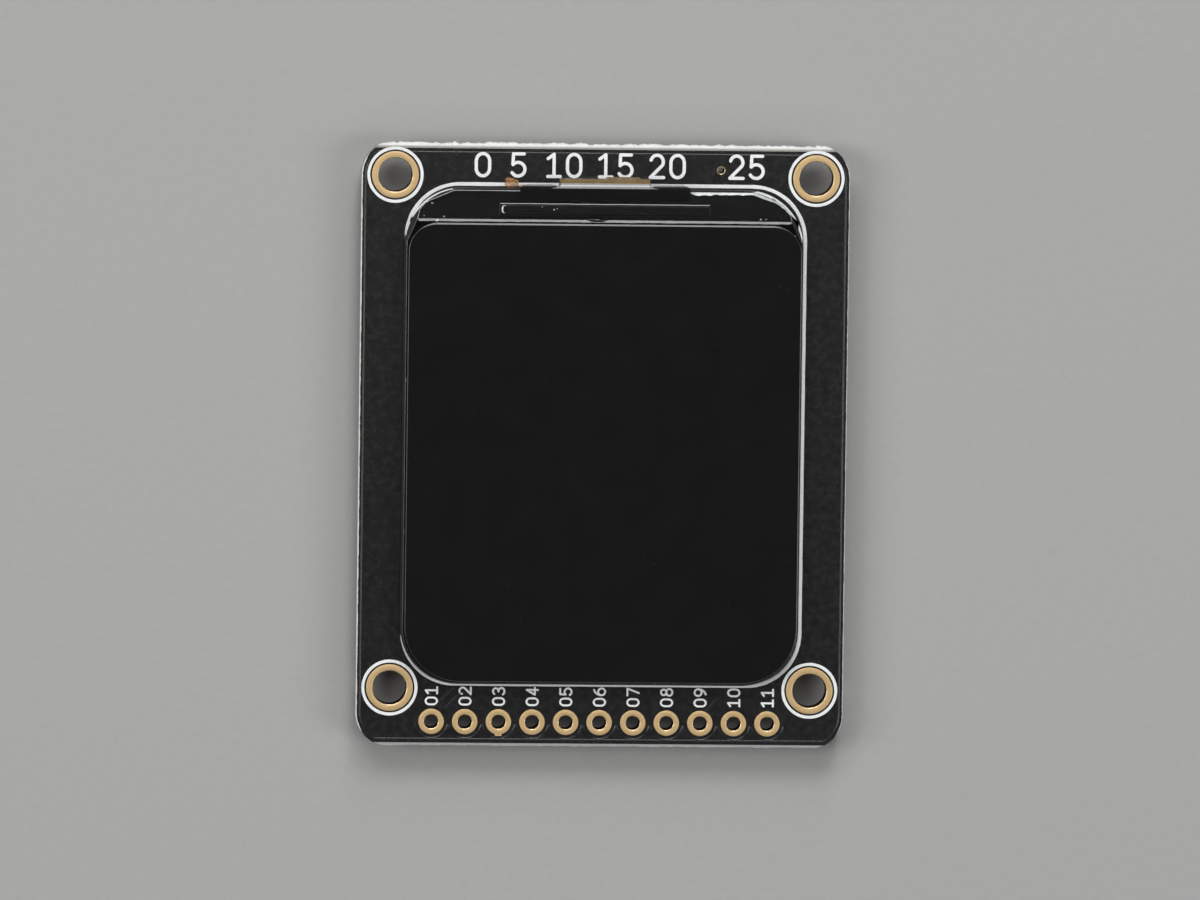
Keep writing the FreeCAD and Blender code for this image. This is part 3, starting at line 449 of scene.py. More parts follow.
# %% [markdown]
# ## Holes and faces of the board
#
# Four large holes for screws stand at the corners, eleven small ones for a pin header along the lower edge,
# and one tiny one, a via, at the top. Plated tubes will stand in them, so the board's own holes are wider
# than the tubes' bores, by the tube's wall and a hair. The two faces are cut into triangles round the holes.

# %% Holes and faces of the board
mount_places = [(sx * 15.875, y) for y in (-18.415, 20.32) for sx in (-1, 1)]
header_places = [((i - 5) * 2.54, -20.955) for i in range(11)]
via_place = (8.67, 20.88)
mount_hole, header_hole, via_hole = 1.27, 0.51, 0.23
wall_and_gap = 0.042
rounds = [(*p, mount_hole + wall_and_gap, 72) for p in mount_places]
rounds += [(*p, header_hole + wall_and_gap, 36) for p in header_places]
rounds += [(*via_place, via_hole + wall_and_gap, 24)]


def pierced(line, holes, height):
    """A flat face at one height with holes in it, cut into triangles."""
    rings = [at_height(ring, height) for ring in (line, *holes)]
    faces = np.array(tessellate_polygon([[Vector(p) for p in ring] for ring in rings]))
    return np.concatenate(rings), [(faces, 0)]


holes = [circle(*r) for r in rounds]
board_shells = [shell(np.stack(levels[:-1]), paint=1), shell(np.stack(levels[-2:]), paint=2)]
board_shells += [pierced(level[:, :2], holes, level[0, 2]) for level in (levels[0], levels[-1])]
board_shells += [shell(np.stack([at_height(h, z) for z in (board_low, board_top)]), paint=1) for h in holes]
make("carrier_board", board_shells, (mask, bare_edge, worn_edge),
     replaces=("circuit_board",), sharp=12)

# %% [markdown]
# ## Copper under the mask
#
# Where copper stops, the mask steps down by a hundredth of a millimetre or two, and the step catches the
# light as a thin grey line. It shows along the board's edge, where the copper keeps 0.3 mm back, round the
# lower half of each header pad, and where three tracks run up to the display. Each is a low strip carried
# along its line: at every point the line's normal carries a small cross-section. The third pad is joined to
# the copper below it by a short spoke, so its arc has a gap there.

# %% Strips along a line
def strip(line, width, low, height, closed=False, shoulder=0.35):
    """point = line + (offset * width) * normal, rising from both edges over a shoulder to a flat top."""
    ahead = np.roll(line, -1, axis=0) - np.roll(line, 1, axis=0) if closed else np.gradient(line, axis=0)
    ahead = ahead / np.linalg.norm(ahead, axis=1, keepdims=True)
    normal = np.stack([-ahead[:, 1], ahead[:, 0]], -1)
    offset = np.array([-0.5, -0.5 + shoulder, 0.5 - shoulder, 0.5])
    rise = np.array([0.0, height, height, 0.0])
    flat = line[:, None, :] + (offset[None, :, None] * np.reshape(width, (-1, 1, 1))) * normal[:, None, :]
    up = np.broadcast_to(low + rise, flat.shape[:2])
    return shell(np.concatenate([flat, up[..., None]], -1), ring_rows=closed, caps=not closed)


def straight(x0, y0, x1, y1, steps=2):
    """Evenly spaced points from one place to another."""
    return np.stack([np.linspace(x0, x1, steps), np.linspace(y0, y1, steps)], -1)


step_width, step_height, pour_height, copper_back, track_width = 0.10, 0.02, 0.012, 0.30, 0.16
pour_line = inset(worn_foot[:, :2], copper_back)
relief = [strip(pour_line, step_width, board_top, pour_height, closed=True)]
clear_radius, spoked_pad = 1.25, 2
left_end, right_end, spoke_gap = math.pi + 0.16, 2 * math.pi - 0.16, 0.22
whole_arc = [(left_end, right_end)]
split_arc = [(left_end, 1.5 * math.pi - spoke_gap), (1.5 * math.pi + spoke_gap, right_end)]
for number, (x, y) in enumerate(header_places):
    for start, end in split_arc if number == spoked_pad else whole_arc:
        line = arc(x, y, clear_radius, np.linspace(start, end, 24))
        relief.append(strip(line, step_width, board_top, step_height))
tracks = [(-12.37, -19.70, -10.94, -18.34), (-11.69, -19.92, -10.41, -18.72), (8.06, -20.0, 9.04, -18.94)]
relief += [strip(straight(*track, 4), track_width, board_top, step_height) for track in tracks]
make("copper_relief", relief, (mask,), sharp=60)

# %% [markdown]
# ## Gold plating
#
# The pads and the walls of the holes are copper under nickel and a flash of gold. Such gold is pale and
# satin, with the fine grain of the copper below. The pad's rim is rounded by the plating, so the profile
# that is turned round each hole has small arcs at its corners, which hold a thin line of light. The drilled
# wall between them is rough, and its gold is painted near black as painted shade: a bright tube would throw
# light down on the table, and the eye expects a dark hole. Between the pad and the wall runs a lip in a
# paler gold, a painted highlight, a hairline brighter than the rest.

# %% Gold
gold = grained("nickel_gold_plating", 0.07, ("#b99a6b", "#e2c698"), (0.38, 0.54), 0.004, Metallic=1.0)
# painted highlight: the lip between pad and wall is a paler, brighter gold
lip_gold_painted_highlight = grained("paler_gold_as_painted_highlight", 0.05, ("#ecd0a8", "#fff0d6"), (0.20, 0.32), 0.003, Metallic=1.0)
# painted shade: the drilled wall's gold is near black, so the hole looks dark
barrel_gold_painted_shade = grained("near_black_gold_as_painted_shade", 0.05, ("#1d160d", "#3a2d1b"), (0.60, 0.80), 0.01,
                      Metallic=1.0)
plating, wall, rim_radius, lip_radius = 0.04, 0.03, 0.03, 0.08
mount_pad, header_pad, via_pad = 1.77, 0.965, 0.32
wall_side, lip_sides = 9, 3


def corner(r, z, size, start):
    """Five points of a quarter circle that rounds the corner (r, z), from the start angle on."""
    cr = r - size * np.sign(math.cos(start + math.pi / 4))
    cz = z - size * np.sign(math.sin(start + math.pi / 4))
    return arc(cr, cz, size, start + np.linspace(0, math.pi / 2, 5))


def plated(x, y, hole, pad, sides):
    """A barrel with two pads: its profile (r, z), whose side 9 is the wall, turned to (x + r cos a, ...)."""
    low, high = board_low - plating, board_top + plating
    profile = np.concatenate([
        corner(pad, high, rim_radius, 0.0), corner(hole, high, lip_radius, math.pi / 2),
        corner(hole, low, lip_radius, math.pi), corner(pad, low, rim_radius, 1.5 * math.pi),
        [(pad, board_low), (hole + wall, board_low), (hole + wall, board_top), (pad, board_top)]])
    a = np.linspace(0, 2 * math.pi, sides, endpoint=False)[:, None]
    r, z = profile.T
    grid = np.stack([x + r * np.cos(a), y + r * np.sin(a), np.broadcast_to(z, (sides, len(z)))], -1)
    points, [(faces, _)] = shell(grid, ring_rows=True)
    side = np.arange(len(faces)) % len(z)
    lip = (side >= wall_side - lip_sides) & (side < wall_side)
    kind = np.where(side == wall_side, 1, np.where(lip, 2, 0))
    return points, [(faces[kind == k], k) for k in (0, 1, 2)]


spoke_x, spoke_y = header_places[spoked_pad]
spoke_start, spoke_end, spoke_width, spoke_height = 0.85, 1.06, 0.50, 0.035
spoke = strip(straight(spoke_x, spoke_y - spoke_start, spoke_x, spoke_y - spoke_end), spoke_width, board_top,
              spoke_height)
mounts_plated = [plated(*p, mount_hole, mount_pad, 96) for p in mount_places]
headers_plated = [plated(*p, header_hole, header_pad, 48) for p in header_places]
via_plated = [plated(*via_place, via_hole, via_pad, 24)]
for name, shells, node in (("mount_hole_gold", mounts_plated, "mount_hole_plating"),
                           ("header_hole_gold", headers_plated + [spoke], "header_hole_plating"),
                           ("via_gold", via_plated, "via_plating")):
    make(name, shells, (gold, barrel_gold_painted_shade, lip_gold_painted_highlight), replaces=(node,), sharp=50)

# %% [markdown]
# ## White ink
#
# The ink is screen printed: a hundredth of a millimetre or two thick, with edges that wander because it was
# squeezed through a mesh. The real board's words are left out, and plain numbers stand in their places. They
# are drawn as such boards draw them, with a round pen: each stroke is a straight line or a bow on a grid one
# unit high, and gets a dot at each end. Each stroke of a digit lies a hair above the last, so that no two
# tops share a plane.

# %% Digits drawn with a round pen
ink = grained("screen_printed_white_ink", 0.16, ("#cfd1d1", "#f6f7f7"), (0.45, 0.62), 0.006, IOR=1.48)
ink_height, stroke_step, dot_sink = 0.018, 0.03, 0.0002
digit_width, advance = 0.6, 0.92


def bow(x, y, rx, ry, start, end):
    """Part of an ellipse: (x + rx cos a, y + ry sin a) for angles from start to end, in degrees."""
    a = np.radians(np.linspace(start, end, 16))
    return np.stack([x + rx * np.cos(a), y + ry * np.sin(a)], -1)


def pen(*places):
    """Straight strokes from place to place."""
    return [straight(*a, *b) for a, b in zip(places, places[1:])]


digits = {
    "0": [bow(0.3, 0.66, 0.3, 0.34, 0, 180), bow(0.3, 0.34, 0.3, 0.34, 180, 360)]
         + pen((0.0, 0.66), (0.0, 0.34)) + pen((0.6, 0.66), (0.6, 0.34)),
    "1": pen((0.05, 0.80), (0.32, 1.0), (0.32, 0.0)) + pen((0.04, 0.0), (0.6, 0.0)),
    "2": [bow(0.3, 0.7, 0.28, 0.3, 165, -30)] + pen((0.54, 0.55), (0.0, 0.0), (0.6, 0.0)),
    "3": [bow(0.27, 0.76, 0.27, 0.24, 150, -90), bow(0.27, 0.26, 0.31, 0.26, 90, -150)],
    "4": pen((0.42, 0.0), (0.42, 1.0), (0.0, 0.28), (0.6, 0.28)),
    "5": pen((0.54, 1.0), (0.06, 1.0), (0.04, 0.56)) + [bow(0.27, 0.31, 0.31, 0.31, 138, -150)],
    "6": [bow(0.3, 0.31, 0.3, 0.31, 0, 360), bow(0.62, 0.31, 0.62, 0.69, 180, 105)],
    "7": pen((0.0, 1.0), (0.6, 1.0), (0.22, 0.0)),
    "8": [bow(0.3, 0.76, 0.25, 0.24, 0, 360), bow(0.3, 0.27, 0.3, 0.27, 0, 360)],
    "9": [bow(0.3, 0.69, 0.3, 0.31, 0, 360), bow(-0.02, 0.69, 0.62, 0.69, 0, -75)],
}


def dot(place, radius, low, height):
    """A flat round plate of ink."""
    ring = circle(*place, radius, 12)
    return shell(np.stack([at_height(ring, low), at_height(ring, low + height)]), caps=True)


def numbers(text, height, x, y, width, turn=0, face=1):
    """Strokes side by side, scaled, turned by degrees and moved to (x, y). The back has face -1."""
    c, s = math.cos(math.radians(turn)), math.sin(math.radians(turn))
    turned = height * np.array([(c, s), (-s, c)]) * (face, 1)
    low = board_top if face > 0 else board_low
    middle = ((len(text) - 1) * advance + digit_width) / 2
    pieces = []
    for k, digit in enumerate(text):
        for n, line in enumerate(digits[digit]):
            line = (line + (k * advance - middle, -0.5)) @ turned + (x, y)
            rise = face * ink_height * (1 + stroke_step * n)
            pieces.append(strip(line, width, low, rise, shoulder=0.02))
            pieces += [dot(place, width / 2, low, rise - face * dot_sink) for place in line[[0, -1]]]
    return pieces


print(len(digits), "digits, of", sum(len(strokes) for strokes in digits.values()), "strokes")

# %% [markdown]
# ## Ink on the front
#
# On the face the ink draws the display's outline, a ring round each mounting hole, a number for each header
# hole and a row of numbers along the top. The widths of the long lines wander a little.

# %% Ink on the front
outline_box, outline_radius, outline_width = (-14.99, 15.08, -18.10, 19.67), 4.0, 0.28
ring_radius, ring_width, ring_sides = 2.008, 0.235, 72
pin_height, pin_y, pin_width = 0.86, -19.01, 0.15
title_height, title_y, title_width = 1.68, 21.14, 0.25
title_places = {"0": -9.3, "5": -6.6, "10": -3.2, "15": 0.7, "20": 4.6, "25": 10.6}
pin_numbers = [(f"{number:02d}", x) for number, (x, _) in enumerate(header_places, start=1)]


def ink_line(line, width, low=board_top, height=ink_height):
    """A closed line of ink, on the front unless it is told otherwise."""
    return strip(line, width, low, height, closed=True, shoulder=0.06)


panel_line = denser(rounded_line(*outline_box, outline_radius, 24), 0.5)
ink_shells = [ink_line(panel_line, outline_width * ragged(len(panel_line), 3, 0.9, 1.08))]
rings = [circle(x, y, ring_radius, ring_sides) for x, y in mount_places]
ink_shells += [ink_line(ring, ring_width * ragged(ring_sides, 3, 0.92, 1.06)) for ring in rings]
for text, x in pin_numbers:
    ink_shells += numbers(text, pin_height, x, pin_y, pin_width, turn=90)
for text, x in title_places.items():
    ink_shells += numbers(text, title_height, x, title_y, title_width)
make("board_ink", ink_shells, (ink,), sharp=40)

# %% [markdown]
# ## The display's finishes
#
# The display is two sheets of glass with a polariser on top. The polariser is a dark plastic sheet, so the
# screen is almost black with a clean gloss, and dust shows on it as tiny specks. The lower glass reaches out
# past the upper one as a ledge. Its cut edges are scribed and broken, so they are ground-looking and catch
# light that the faces let through.

# %% Polariser, glass and sealant
polariser, tree, place = finish("glossy_polariser_sheet", IOR=1.49)
haze_place = add(tree, "Mapping", {"Vector": place, "Scale": per_mm(3.0)})
haze = add(tree, "TexNoise", {"Vector": haze_place, "Scale": 1.0, "Detail": 3.0})
speck_place = add(tree, "Mapping", {"Vector": place, "Scale": per_mm(1.1)})
specks = add(tree, "TexVoronoi", {"Vector": speck_place, "Scale": 1.0})
dust = add(tree, "MapRange", {"Value": specks, "From Min": 0.035, "From Max": 0.02})
sheet_colour = add(tree, "Mix", {0: haze, 6: linear("#0b0b0c"), 7: linear("#121213")}, data_type="RGBA")
dusty = add(tree, "Mix", {0: dust, 6: sheet_colour, 7: linear("#3a3a3b")}, data_type="RGBA")
gloss = add(tree, "MapRange", {"Value": haze, "To Min": 0.10, "To Max": 0.17})
dress(tree, Base_Color=dusty, Roughness=gloss)

cut_plastic = grained("smooth_cut_edge", 0.1, ("#2c2d2f", "#4a4c4e"), (0.18, 0.32), 0.001, IOR=1.49)
glass = grained("thin_display_glass", 1.5, ("#c2c4c4", "#d6d8d7"), (0.02, 0.06), 0.0005, IOR=1.52,
                Transmission_Weight=1.0)
broken_glass = grained("scribed_glass_edge", 0.12, ("#6f7374", "#e3e7e8"), (0.12, 0.35), 0.006, IOR=1.52)
sealant = grained("cured_black_sealant", 0.4, ("#08080a", "#131316"), (0.10, 0.20), 0.004, IOR=1.5)
print("display finishes:", polariser.name, glass.name, sealant.name)

# %% [markdown]
# ## The sheets of the display
#
# A sheet is its line in plan at four heights, with the outer two drawn in by a small bevel. For the broken
# glass edges the bevel is not even: it wanders, jumps to a few times its width where the glass chipped, and
# is wide all along where the glass was snapped off. The glass keeps its clear finish on the faces, and the
# bevels take another one. The top corners of the glass are cut in short steps.

# %% Glass and polariser sheets
panel_radius, panel_steps, even_bevel, cable_side = 4.15, 20, 0.02, 6.3


def sheet(line, low, high, bevel, edge=0, slope=0.9):
    """Rings of the line at four heights, the outer two inset by the bevel, which falls by slope * width."""
    tight = np.broadcast_to(bevel, len(line))
    rings = [at_height(inset(line, tight), low), at_height(line, low + slope * tight),
             at_height(line, high - slope * tight), at_height(inset(line, tight), high)]
    points, parts = shell(np.stack(rings), caps=True, paint=edge)
    return points, [(f, 0 if f.shape[1] > 4 else p) for f, p in parts]


def glass_line(top):
    """The panel's line in plan up to the given y: round low corners, and top corners cut in steps."""
    (x0, y0), (x1, y1) = span("array_glass")[:, :2]
    steps = np.array([(3.5, 0.0), (1.45, 0.88), (0.95, 1.45), (0.8, 2.1), (0.0, 3.9)])
    cut = y1 - top
    first = (np.interp(cut, steps[:, 1], steps[:, 0]), cut)
    steps = np.vstack([first, steps[steps[:, 1] > cut + 1e-6]])
    low_corners = rounded_line(x0, x1, y0, y1, panel_radius, panel_steps)[:2 * panel_steps]
    right_steps = np.stack([x1 - steps[:, 0], y1 - steps[:, 1]], -1)[::-1]
    left_steps = np.stack([x0 + steps[:, 0], y1 - steps[:, 1]], -1)
    return denser(np.concatenate([low_corners, right_steps, left_steps]), 0.2)


def chipped(line, width, worst, share):
    """A bevel for each point: a wandering width, and up to the worst one at a small share of the points."""
    wander = ragged(len(line), 5, 0.6 * width, 1.5 * width)
    jump = ragged(len(line), 2, 0.0, 1.0)
    return wander + (worst - width) * np.clip((jump - (1 - share)) / share, 0, 1)


for name, node, worst, share, from_x, strip_y, snapped, edge_paint in (
        ("ledge_glass", "array_glass", 0.10, 0.12, cable_side, 1.5, (0.10, 0.26), broken_glass),
        ("upper_glass", "colour_filter_glass", 0.09, 0.10, -math.inf, 0.01, (0.15, 0.19), cut_plastic)):
    low, high = span(node)
    line = glass_line(high[1])
    bevel = chipped(line, even_bevel, worst, share)
    along_top = (line[:, 0] > from_x) & (line[:, 1] > line[:, 1].max() - strip_y)
    bevel = np.maximum(bevel, along_top * ragged(len(line), 2, *snapped))
    make(name, [sheet(line, low[2], high[2], bevel, edge=1, slope=0.4)], (glass, edge_paint),
         replaces=(node,), sharp=20)

(px0, py0, pz0), (px1, py1, pz1) = span("front_polariser")
polariser_radii, side_bevel, top_bevel, top_zone = (panel_radius, panel_radius, 2.2, 2.2), 0.03, 0.09, 0.5
polariser_line = denser(rounded_line(px0, px1, py0, py1, polariser_radii, panel_steps), 1.0)
top_edge = np.clip((polariser_line[:, 1] - py1 + top_zone) / top_zone, 0, 1)
cut_bevel = side_bevel + top_bevel * top_edge
make("front_polariser_sheet", [sheet(polariser_line, pz0, pz1, cut_bevel, edge=1, slope=0.3)],
     (polariser, cut_plastic), replaces=("front_polariser",), sharp=8)

# %% [markdown]
# ## Sealant and driver chip
#
# The gap through which the panel was filled is closed with a drop of black sealant. Its plan is a lens, and
# its height is that of a drop: highest in the middle and falling as one minus the square of the distance.
# The driver chip is a long sliver of bare silicon, face down, with a dark ground back, and a near-white
# crescent on one end that is a painted highlight. The glue film under it was pressed out all round and has
# a soft glossy rim, which draws a thin line above the chip.

# %% Sealant drop, chip and film
silicon = grained("ground_silicon", 0.10, ("#0a0a0b", "#151516"), (0.16, 0.28), 0.001, stretch=(6, 1, 1),
                  Metallic=0.2)
sawn = grained("sawn_silicon_edge", 0.06, ("#222325", "#48494b"), (0.2, 0.5), 0.01, Metallic=0.3)
# near white: the splinters' own colour, and on the chip's end a painted highlight
splinter_white_and_painted_highlight = grained("white_splinters_and_chip_end_highlight", 0.05, ("#b4b7b9", "#ffffff"), (0.10, 0.30), 0.01, IOR=1.5)
sunk, seal_lift, seal_clear = 0.02, 0.22, 0.24


def drop(x, y, rx, ry, low, height, rows=14, columns=40, uneven=0.0):
    """Radius s and angle a: (x + s rx cos a, y + s ry sin a, low + height (1 - s^2)), on a flat underside."""
    s = np.concatenate([[1.0], np.linspace(1.0, 0.02, rows)])[:, None]
    a = np.linspace(0, 2 * math.pi, columns, endpoint=False)[None, :]
    edge = 1 + uneven * (ragged(columns, 4, -1.0, 1.0)[None, :])
    top = low + height * (1 - s ** 2) * (1 + uneven * np.cos(3 * a))
    top[0] = low - sunk
    grid = np.stack([x + s * edge * rx * np.cos(a), y + s * edge * ry * np.sin(a), top + 0 * a], -1)
    return shell(grid, caps=True)


(sx0, _, _), (sx1, sy1, sz1) = span("fill_port_seal")
seal_y = span("colour_filter_glass")[1, 1]
seal = drop((sx0 + sx1) / 2, seal_y, (sx1 - sx0) / 2, sy1 - seal_y, ledge_top + seal_lift,
            sz1 - ledge_top - seal_clear)
make("sealant_drop", [seal], (sealant,), replaces=("fill_port_seal",))
(cx0, cy0, cz0), (cx1, cy1, cz1) = span("driver_chip")
chip_line = denser(rounded_line(cx0, cx1, cy0, cy1, 0.02, 3), 0.12)
make("driver_chip_die", [sheet(chip_line, cz0, cz1, chipped(chip_line, 0.02, 0.10, 0.10), edge=1)],
     (silicon, sawn), replaces=("driver_chip",), sharp=20)
end_line = np.array([(cx0 + 0.30, cy1 - 0.03), (cx0 + 0.13, cy1 - 0.05), (cx0 + 0.06, cy1 - 0.12),
                     (cx0 + 0.05, (cy0 + cy1) / 2), (cx0 + 0.06, cy0 + 0.12), (cx0 + 0.13, cy0 + 0.05),
                     (cx0 + 0.25, cy0 + 0.04)])
end_width = np.array([0.03, 0.07, 0.13, 0.15, 0.13, 0.07, 0.03])
end_depth, end_rise = 0.04, 0.045
# painted highlight: a near-white crescent on the chip's end
make("chip_end_painted_highlight", [strip(end_line, end_width, cz1 - end_depth, end_rise, shoulder=0.2)],
     (splinter_white_and_painted_highlight,))
(bx0, by0, bz0), (bx1, by1, bz1) = span("bond_film")
film_line = denser(rounded_line(bx0, bx1, by0, by1, 0.05, 4), 0.2)
rim_above, rim_elsewhere, pressed_out = 0.06, 0.012, 0.02
film_rim = np.where(film_line[:, 1] > by1 - 0.01, rim_above, rim_elsewhere)
film_rim = film_rim * ragged(len(film_line), 4, 0.8, 1.2)
make("glue_film", [sheet(film_line, bz0, bz1 + pressed_out, film_rim, slope=0.4)],
     (sealant,), replaces=("bond_film",), sharp=8)

# %% [markdown]
# ## Splinters
#
# A few splinters of glass were left when the panel was broken out of its large sheet. They are tiny uneven
# drops with six sides, and each lies on whatever is below it: the chip, the ledge or the upper glass. Their
# places are listed.

# %% Glass splinters
splinters = [(-13.15, 18.3, 0.09), (-13.75, 17.35, 0.05), (-12.75, 17.0, 0.13), (-12.25, 17.3, 0.07),
             (-4.0, 17.9, 0.07), (-3.75, 17.98, 0.05), (-4.9, 18.1, 0.05), (7.6, 18.0, 0.05),
             (11.6, 17.3, 0.09), (12.0, 17.3, 0.06), (11.8, 16.6, 0.06), (13.6, 16.5, 0.05),
             (14.2, 16.1, 0.05)]
chip_reach = 5.0
_, glass_edge, glass_top = span("colour_filter_glass")[1]


def level_below(x, y):
    """The top of the chip near the middle, else of the ledge beyond the upper glass, else of that glass."""
    if abs(x) < chip_reach:
        return cz1
    return ledge_top if y > glass_edge else glass_top


make("glass_splinters", [drop(x, y, size, 0.6 * size, level_below(x, y), 0.5 * size, rows=3, columns=6,
                              uneven=0.3) for x, y, size in splinters],
     (splinter_white_and_painted_highlight,), sharp=10)

# %% [markdown]
# ## The cable's finishes
#
# The cable is polyimide film with copper tracks. Its wide part has a black cover film, through which the
# tracks show as faint lines along it, and lower down the tail is bare amber film. A sine across x at the
# tracks' pitch gives both the lines and their relief.

# %% Cable films
track_pitch = 0.5
black_film, tree, place = finish("black_cover_film", IOR=1.6)
axis = add(tree, "SeparateXYZ", {"Vector": place})
turns_of_x = 2 * math.pi / (track_pitch * MM)
phase = add(tree, "Math", {0: axis.outputs["X"], 1: turns_of_x}, operation="MULTIPLY")
wave = add(tree, "Math", {0: phase}, operation="SINE")
lines = add(tree, "MapRange", {"Value": wave, "From Min": -0.4, "From Max": 0.4})
cloud_place = add(tree, "Mapping", {"Vector": place, "Scale": per_mm(0.5)})
cloud = add(tree, "TexNoise", {"Vector": cloud_place, "Scale": 1.0, "Detail": 3.0})
film_colour = add(tree, "Mix", {0: lines, 6: linear("#050505"), 7: linear("#0a0909")}, data_type="RGBA")
film_shine = add(tree, "MapRange", {"Value": cloud, "To Min": 0.10, "To Max": 0.16})
film_height = add(tree, "Math", {0: lines, 1: cloud}, operation="ADD")
film_bump = add(tree, "Bump", {"Height": film_height, "Distance": 0.0004 * MM})
dress(tree, Base_Color=film_colour, Roughness=film_shine, Normal=film_bump)

amber_film = grained("amber_polyimide_film", 0.6, ("#5a4726", "#8a703f"), (0.14, 0.28), 0.0008, IOR=1.7)
print("cable finishes:", black_film.name, "and", amber_film.name)

# %% [markdown]
# ## The bent film cable
#
# The cable is a strip carried along a path: flat on the glass ledge, a half turn down past the frame, and
# back under it. The path gives a middle point and a normal for each row, and a small rounded section is laid
# across. Only a narrow tail bends: the wide black part ends in two flat wings beside it. The tail goes from
# black to amber part of the way down, and a narrow tongue of the same film reaches out beyond the bend.

# %% The bent cable
def film_strip(line, normal, middle, half_width, thickness, paint):
    """Across each row, anticlockwise: (side * (half_width - back_off), up) with the corners taken off."""
    side = np.repeat([-1, 1], 4)
    back_off = np.array([1, 0, 0, 1, 1, 0, 0, 1]) * thickness * 0.3
    up = np.array([-1, -0.4, 0.4, 1, 1, 0.4, -0.4, -1]) * thickness / 2
    half = np.broadcast_to(half_width, len(line))[:, None]
    x = middle + side[None, :] * (half - back_off[None, :])
    y = line[:, 0, None] + up[None, :] * normal[:, 0, None]
    z = line[:, 1, None] + up[None, :] * normal[:, 1, None]
    return shell(np.stack([x, y, z], -1), caps=True, paint=paint)


(fx0, _, fz0), (fx1, fy1, fz1) = span("display_flex")
film, tail_half, flare, flare_span, tongue_half, tongue_x = 0.1, 3.4, 1.2, 20.0, 1.35, 1.28
ledge_run, under_run = 0.65, 6.0
bend_y, flex_x, flex_half = span("backlight_frame")[1, 1], (fx0 + fx1) / 2, (fx1 - fx0) / 2
bend = np.linspace(math.pi / 2, -math.pi / 2, 40)
bend_line = arc(bend_y, (fz1 + fz0) / 2, (fz1 - fz0) / 2 - film / 2, bend)
start, end = (span("array_glass")[1, 1] - ledge_run, fz1 - film / 2), (bend_y - under_run, fz0 + film / 2)
line = np.concatenate([[start], bend_line, [end]])
normal = np.concatenate([[(0, 1)], arc(0, 0, 1, bend), [(0, -1)]])
angle = np.degrees(np.arctan2(normal[:, 1], normal[:, 0]))
wide_end, tail_start, flare_end, black_end, amber_start = 84.0, 88.0, 70.0, 51.0, 55.5
tail_film, wing_film = film * 0.94, film * 0.9
pieces = [film_strip(line[angle > wide_end], normal[angle > wide_end], flex_x, flex_half, film, 0)]
width = tail_half + flare * np.clip((angle - flare_end) / flare_span, 0, 1) ** 2
for part, paint in (((angle > black_end) & (angle < tail_start), 0), (angle < amber_start, 1)):
    pieces.append(film_strip(line[part], normal[part], flex_x, width[part], tail_film, paint))
upright = np.array([(0.0, 1.0)] * 5)
wing_y = bend_y + np.array([-0.2, 0.1, 0.24, 0.32, 0.36])
wing_line = np.stack([wing_y, fz1 - film / 2 - np.array([0.005, 0.01, 0.02, 0.03, 0.04])], -1)
wing_half = (flex_half - tail_half) / 2 - np.array([0.10, 0.10, 0.20, 0.38, 0.60])
wing_x = flex_half / 2 + tail_half / 2 + 0.05
pieces += [film_strip(wing_line, upright, flex_x + side * wing_x, wing_half, wing_film, 0)
           for side in (-1, 1)]
tongue_line = np.array([(bend_y - 0.5, fz0 + film / 2), (fy1 - 0.12, fz0 + film / 2), (fy1, fz0 + film / 2)])
tongue_width = np.array([tongue_half, tongue_half, tongue_half - 0.15])
pieces.append(film_strip(tongue_line, upright[:3], tongue_x, tongue_width, film, 1))
make("display_flex_film", pieces, (black_film, amber_film),
     replaces=("display_flex",), sharp=40)

# %% [markdown]
# ## A drop of flux resin
#
# Beside the cable a drop of amber flux has run over the ink line and set hard. It is three drops run
# together, with uneven edges, in a half-covering finish, so the white line below shows through, and a bump
# gives it its small hard glints.

# %% Flux drops
resin = grained("set_flux_resin", 0.16, ("#4a1f04", "#ffc27d"), (0.03, 0.10), 0.03, detail=1.0, IOR=1.53,
                Alpha=0.55)
flux = [drop(x, y, rx, ry, board_top, height, uneven=uneven) for x, y, rx, ry, height, uneven in (
    (-7.1, 19.72, 0.52, 0.44, 0.34, 0.12), (-6.3, 19.56, 0.26, 0.15, 0.16, 0.1),
    (-7.35, 19.98, 0.26, 0.24, 0.26, 0.1))]
make("flux_drops", flux, (resin,))

# %% [markdown]
# ## The spring in the card socket
#
# The spring is a round wire wound into a coil. Its middle line is a helix, and a small circle is carried
# along it. At each point one direction of that circle points away from the coil's axis and the other is
# square to it and to the wire. The last turns lie close together, as they do on a spring that presses on
# flat ends.

# %% Coil spring
wire = grained("drawn_spring_wire", 0.05, ("#8d8d8c", "#c4c4c2"), (0.18, 0.34), 0.002, Metallic=1.0)
(wx0, wy0, wz0), (wx1, wy1, wz1) = span("slider_spring")
coil_y, coil_z = (wy0 + wy1) / 2, (wz0 + wz1) / 2
wire_r, turns, end_turns, closed_pitch = 0.07, 9.0, 1.5, 0.18
coil_r = (wy1 - wy0) / 2 - wire_r
s = np.linspace(0, 1, 420)
pitch = np.clip(np.minimum(s * turns, (1 - s) * turns) / end_turns, closed_pitch, 1.0)
along = np.cumsum(pitch) - pitch[0]
along = wx0 + wire_r + (wx1 - wx0 - 2 * wire_r) * along / along[-1]
a = 2 * math.pi * turns * s
out = np.stack([0 * a, np.cos(a), np.sin(a)], -1)
middle = np.stack([along, np.full_like(a, coil_y), np.full_like(a, coil_z)], -1) + coil_r * out
ahead = np.gradient(middle, axis=0)
ahead = ahead / np.linalg.norm(ahead, axis=1, keepdims=True)
across = np.cross(ahead, out)
around = np.linspace(0, 2 * math.pi, 10, endpoint=False)[None, :, None]
coil = middle[:, None, :] + wire_r * (np.cos(around) * out[:, None, :] + np.sin(around) * across[:, None, :])
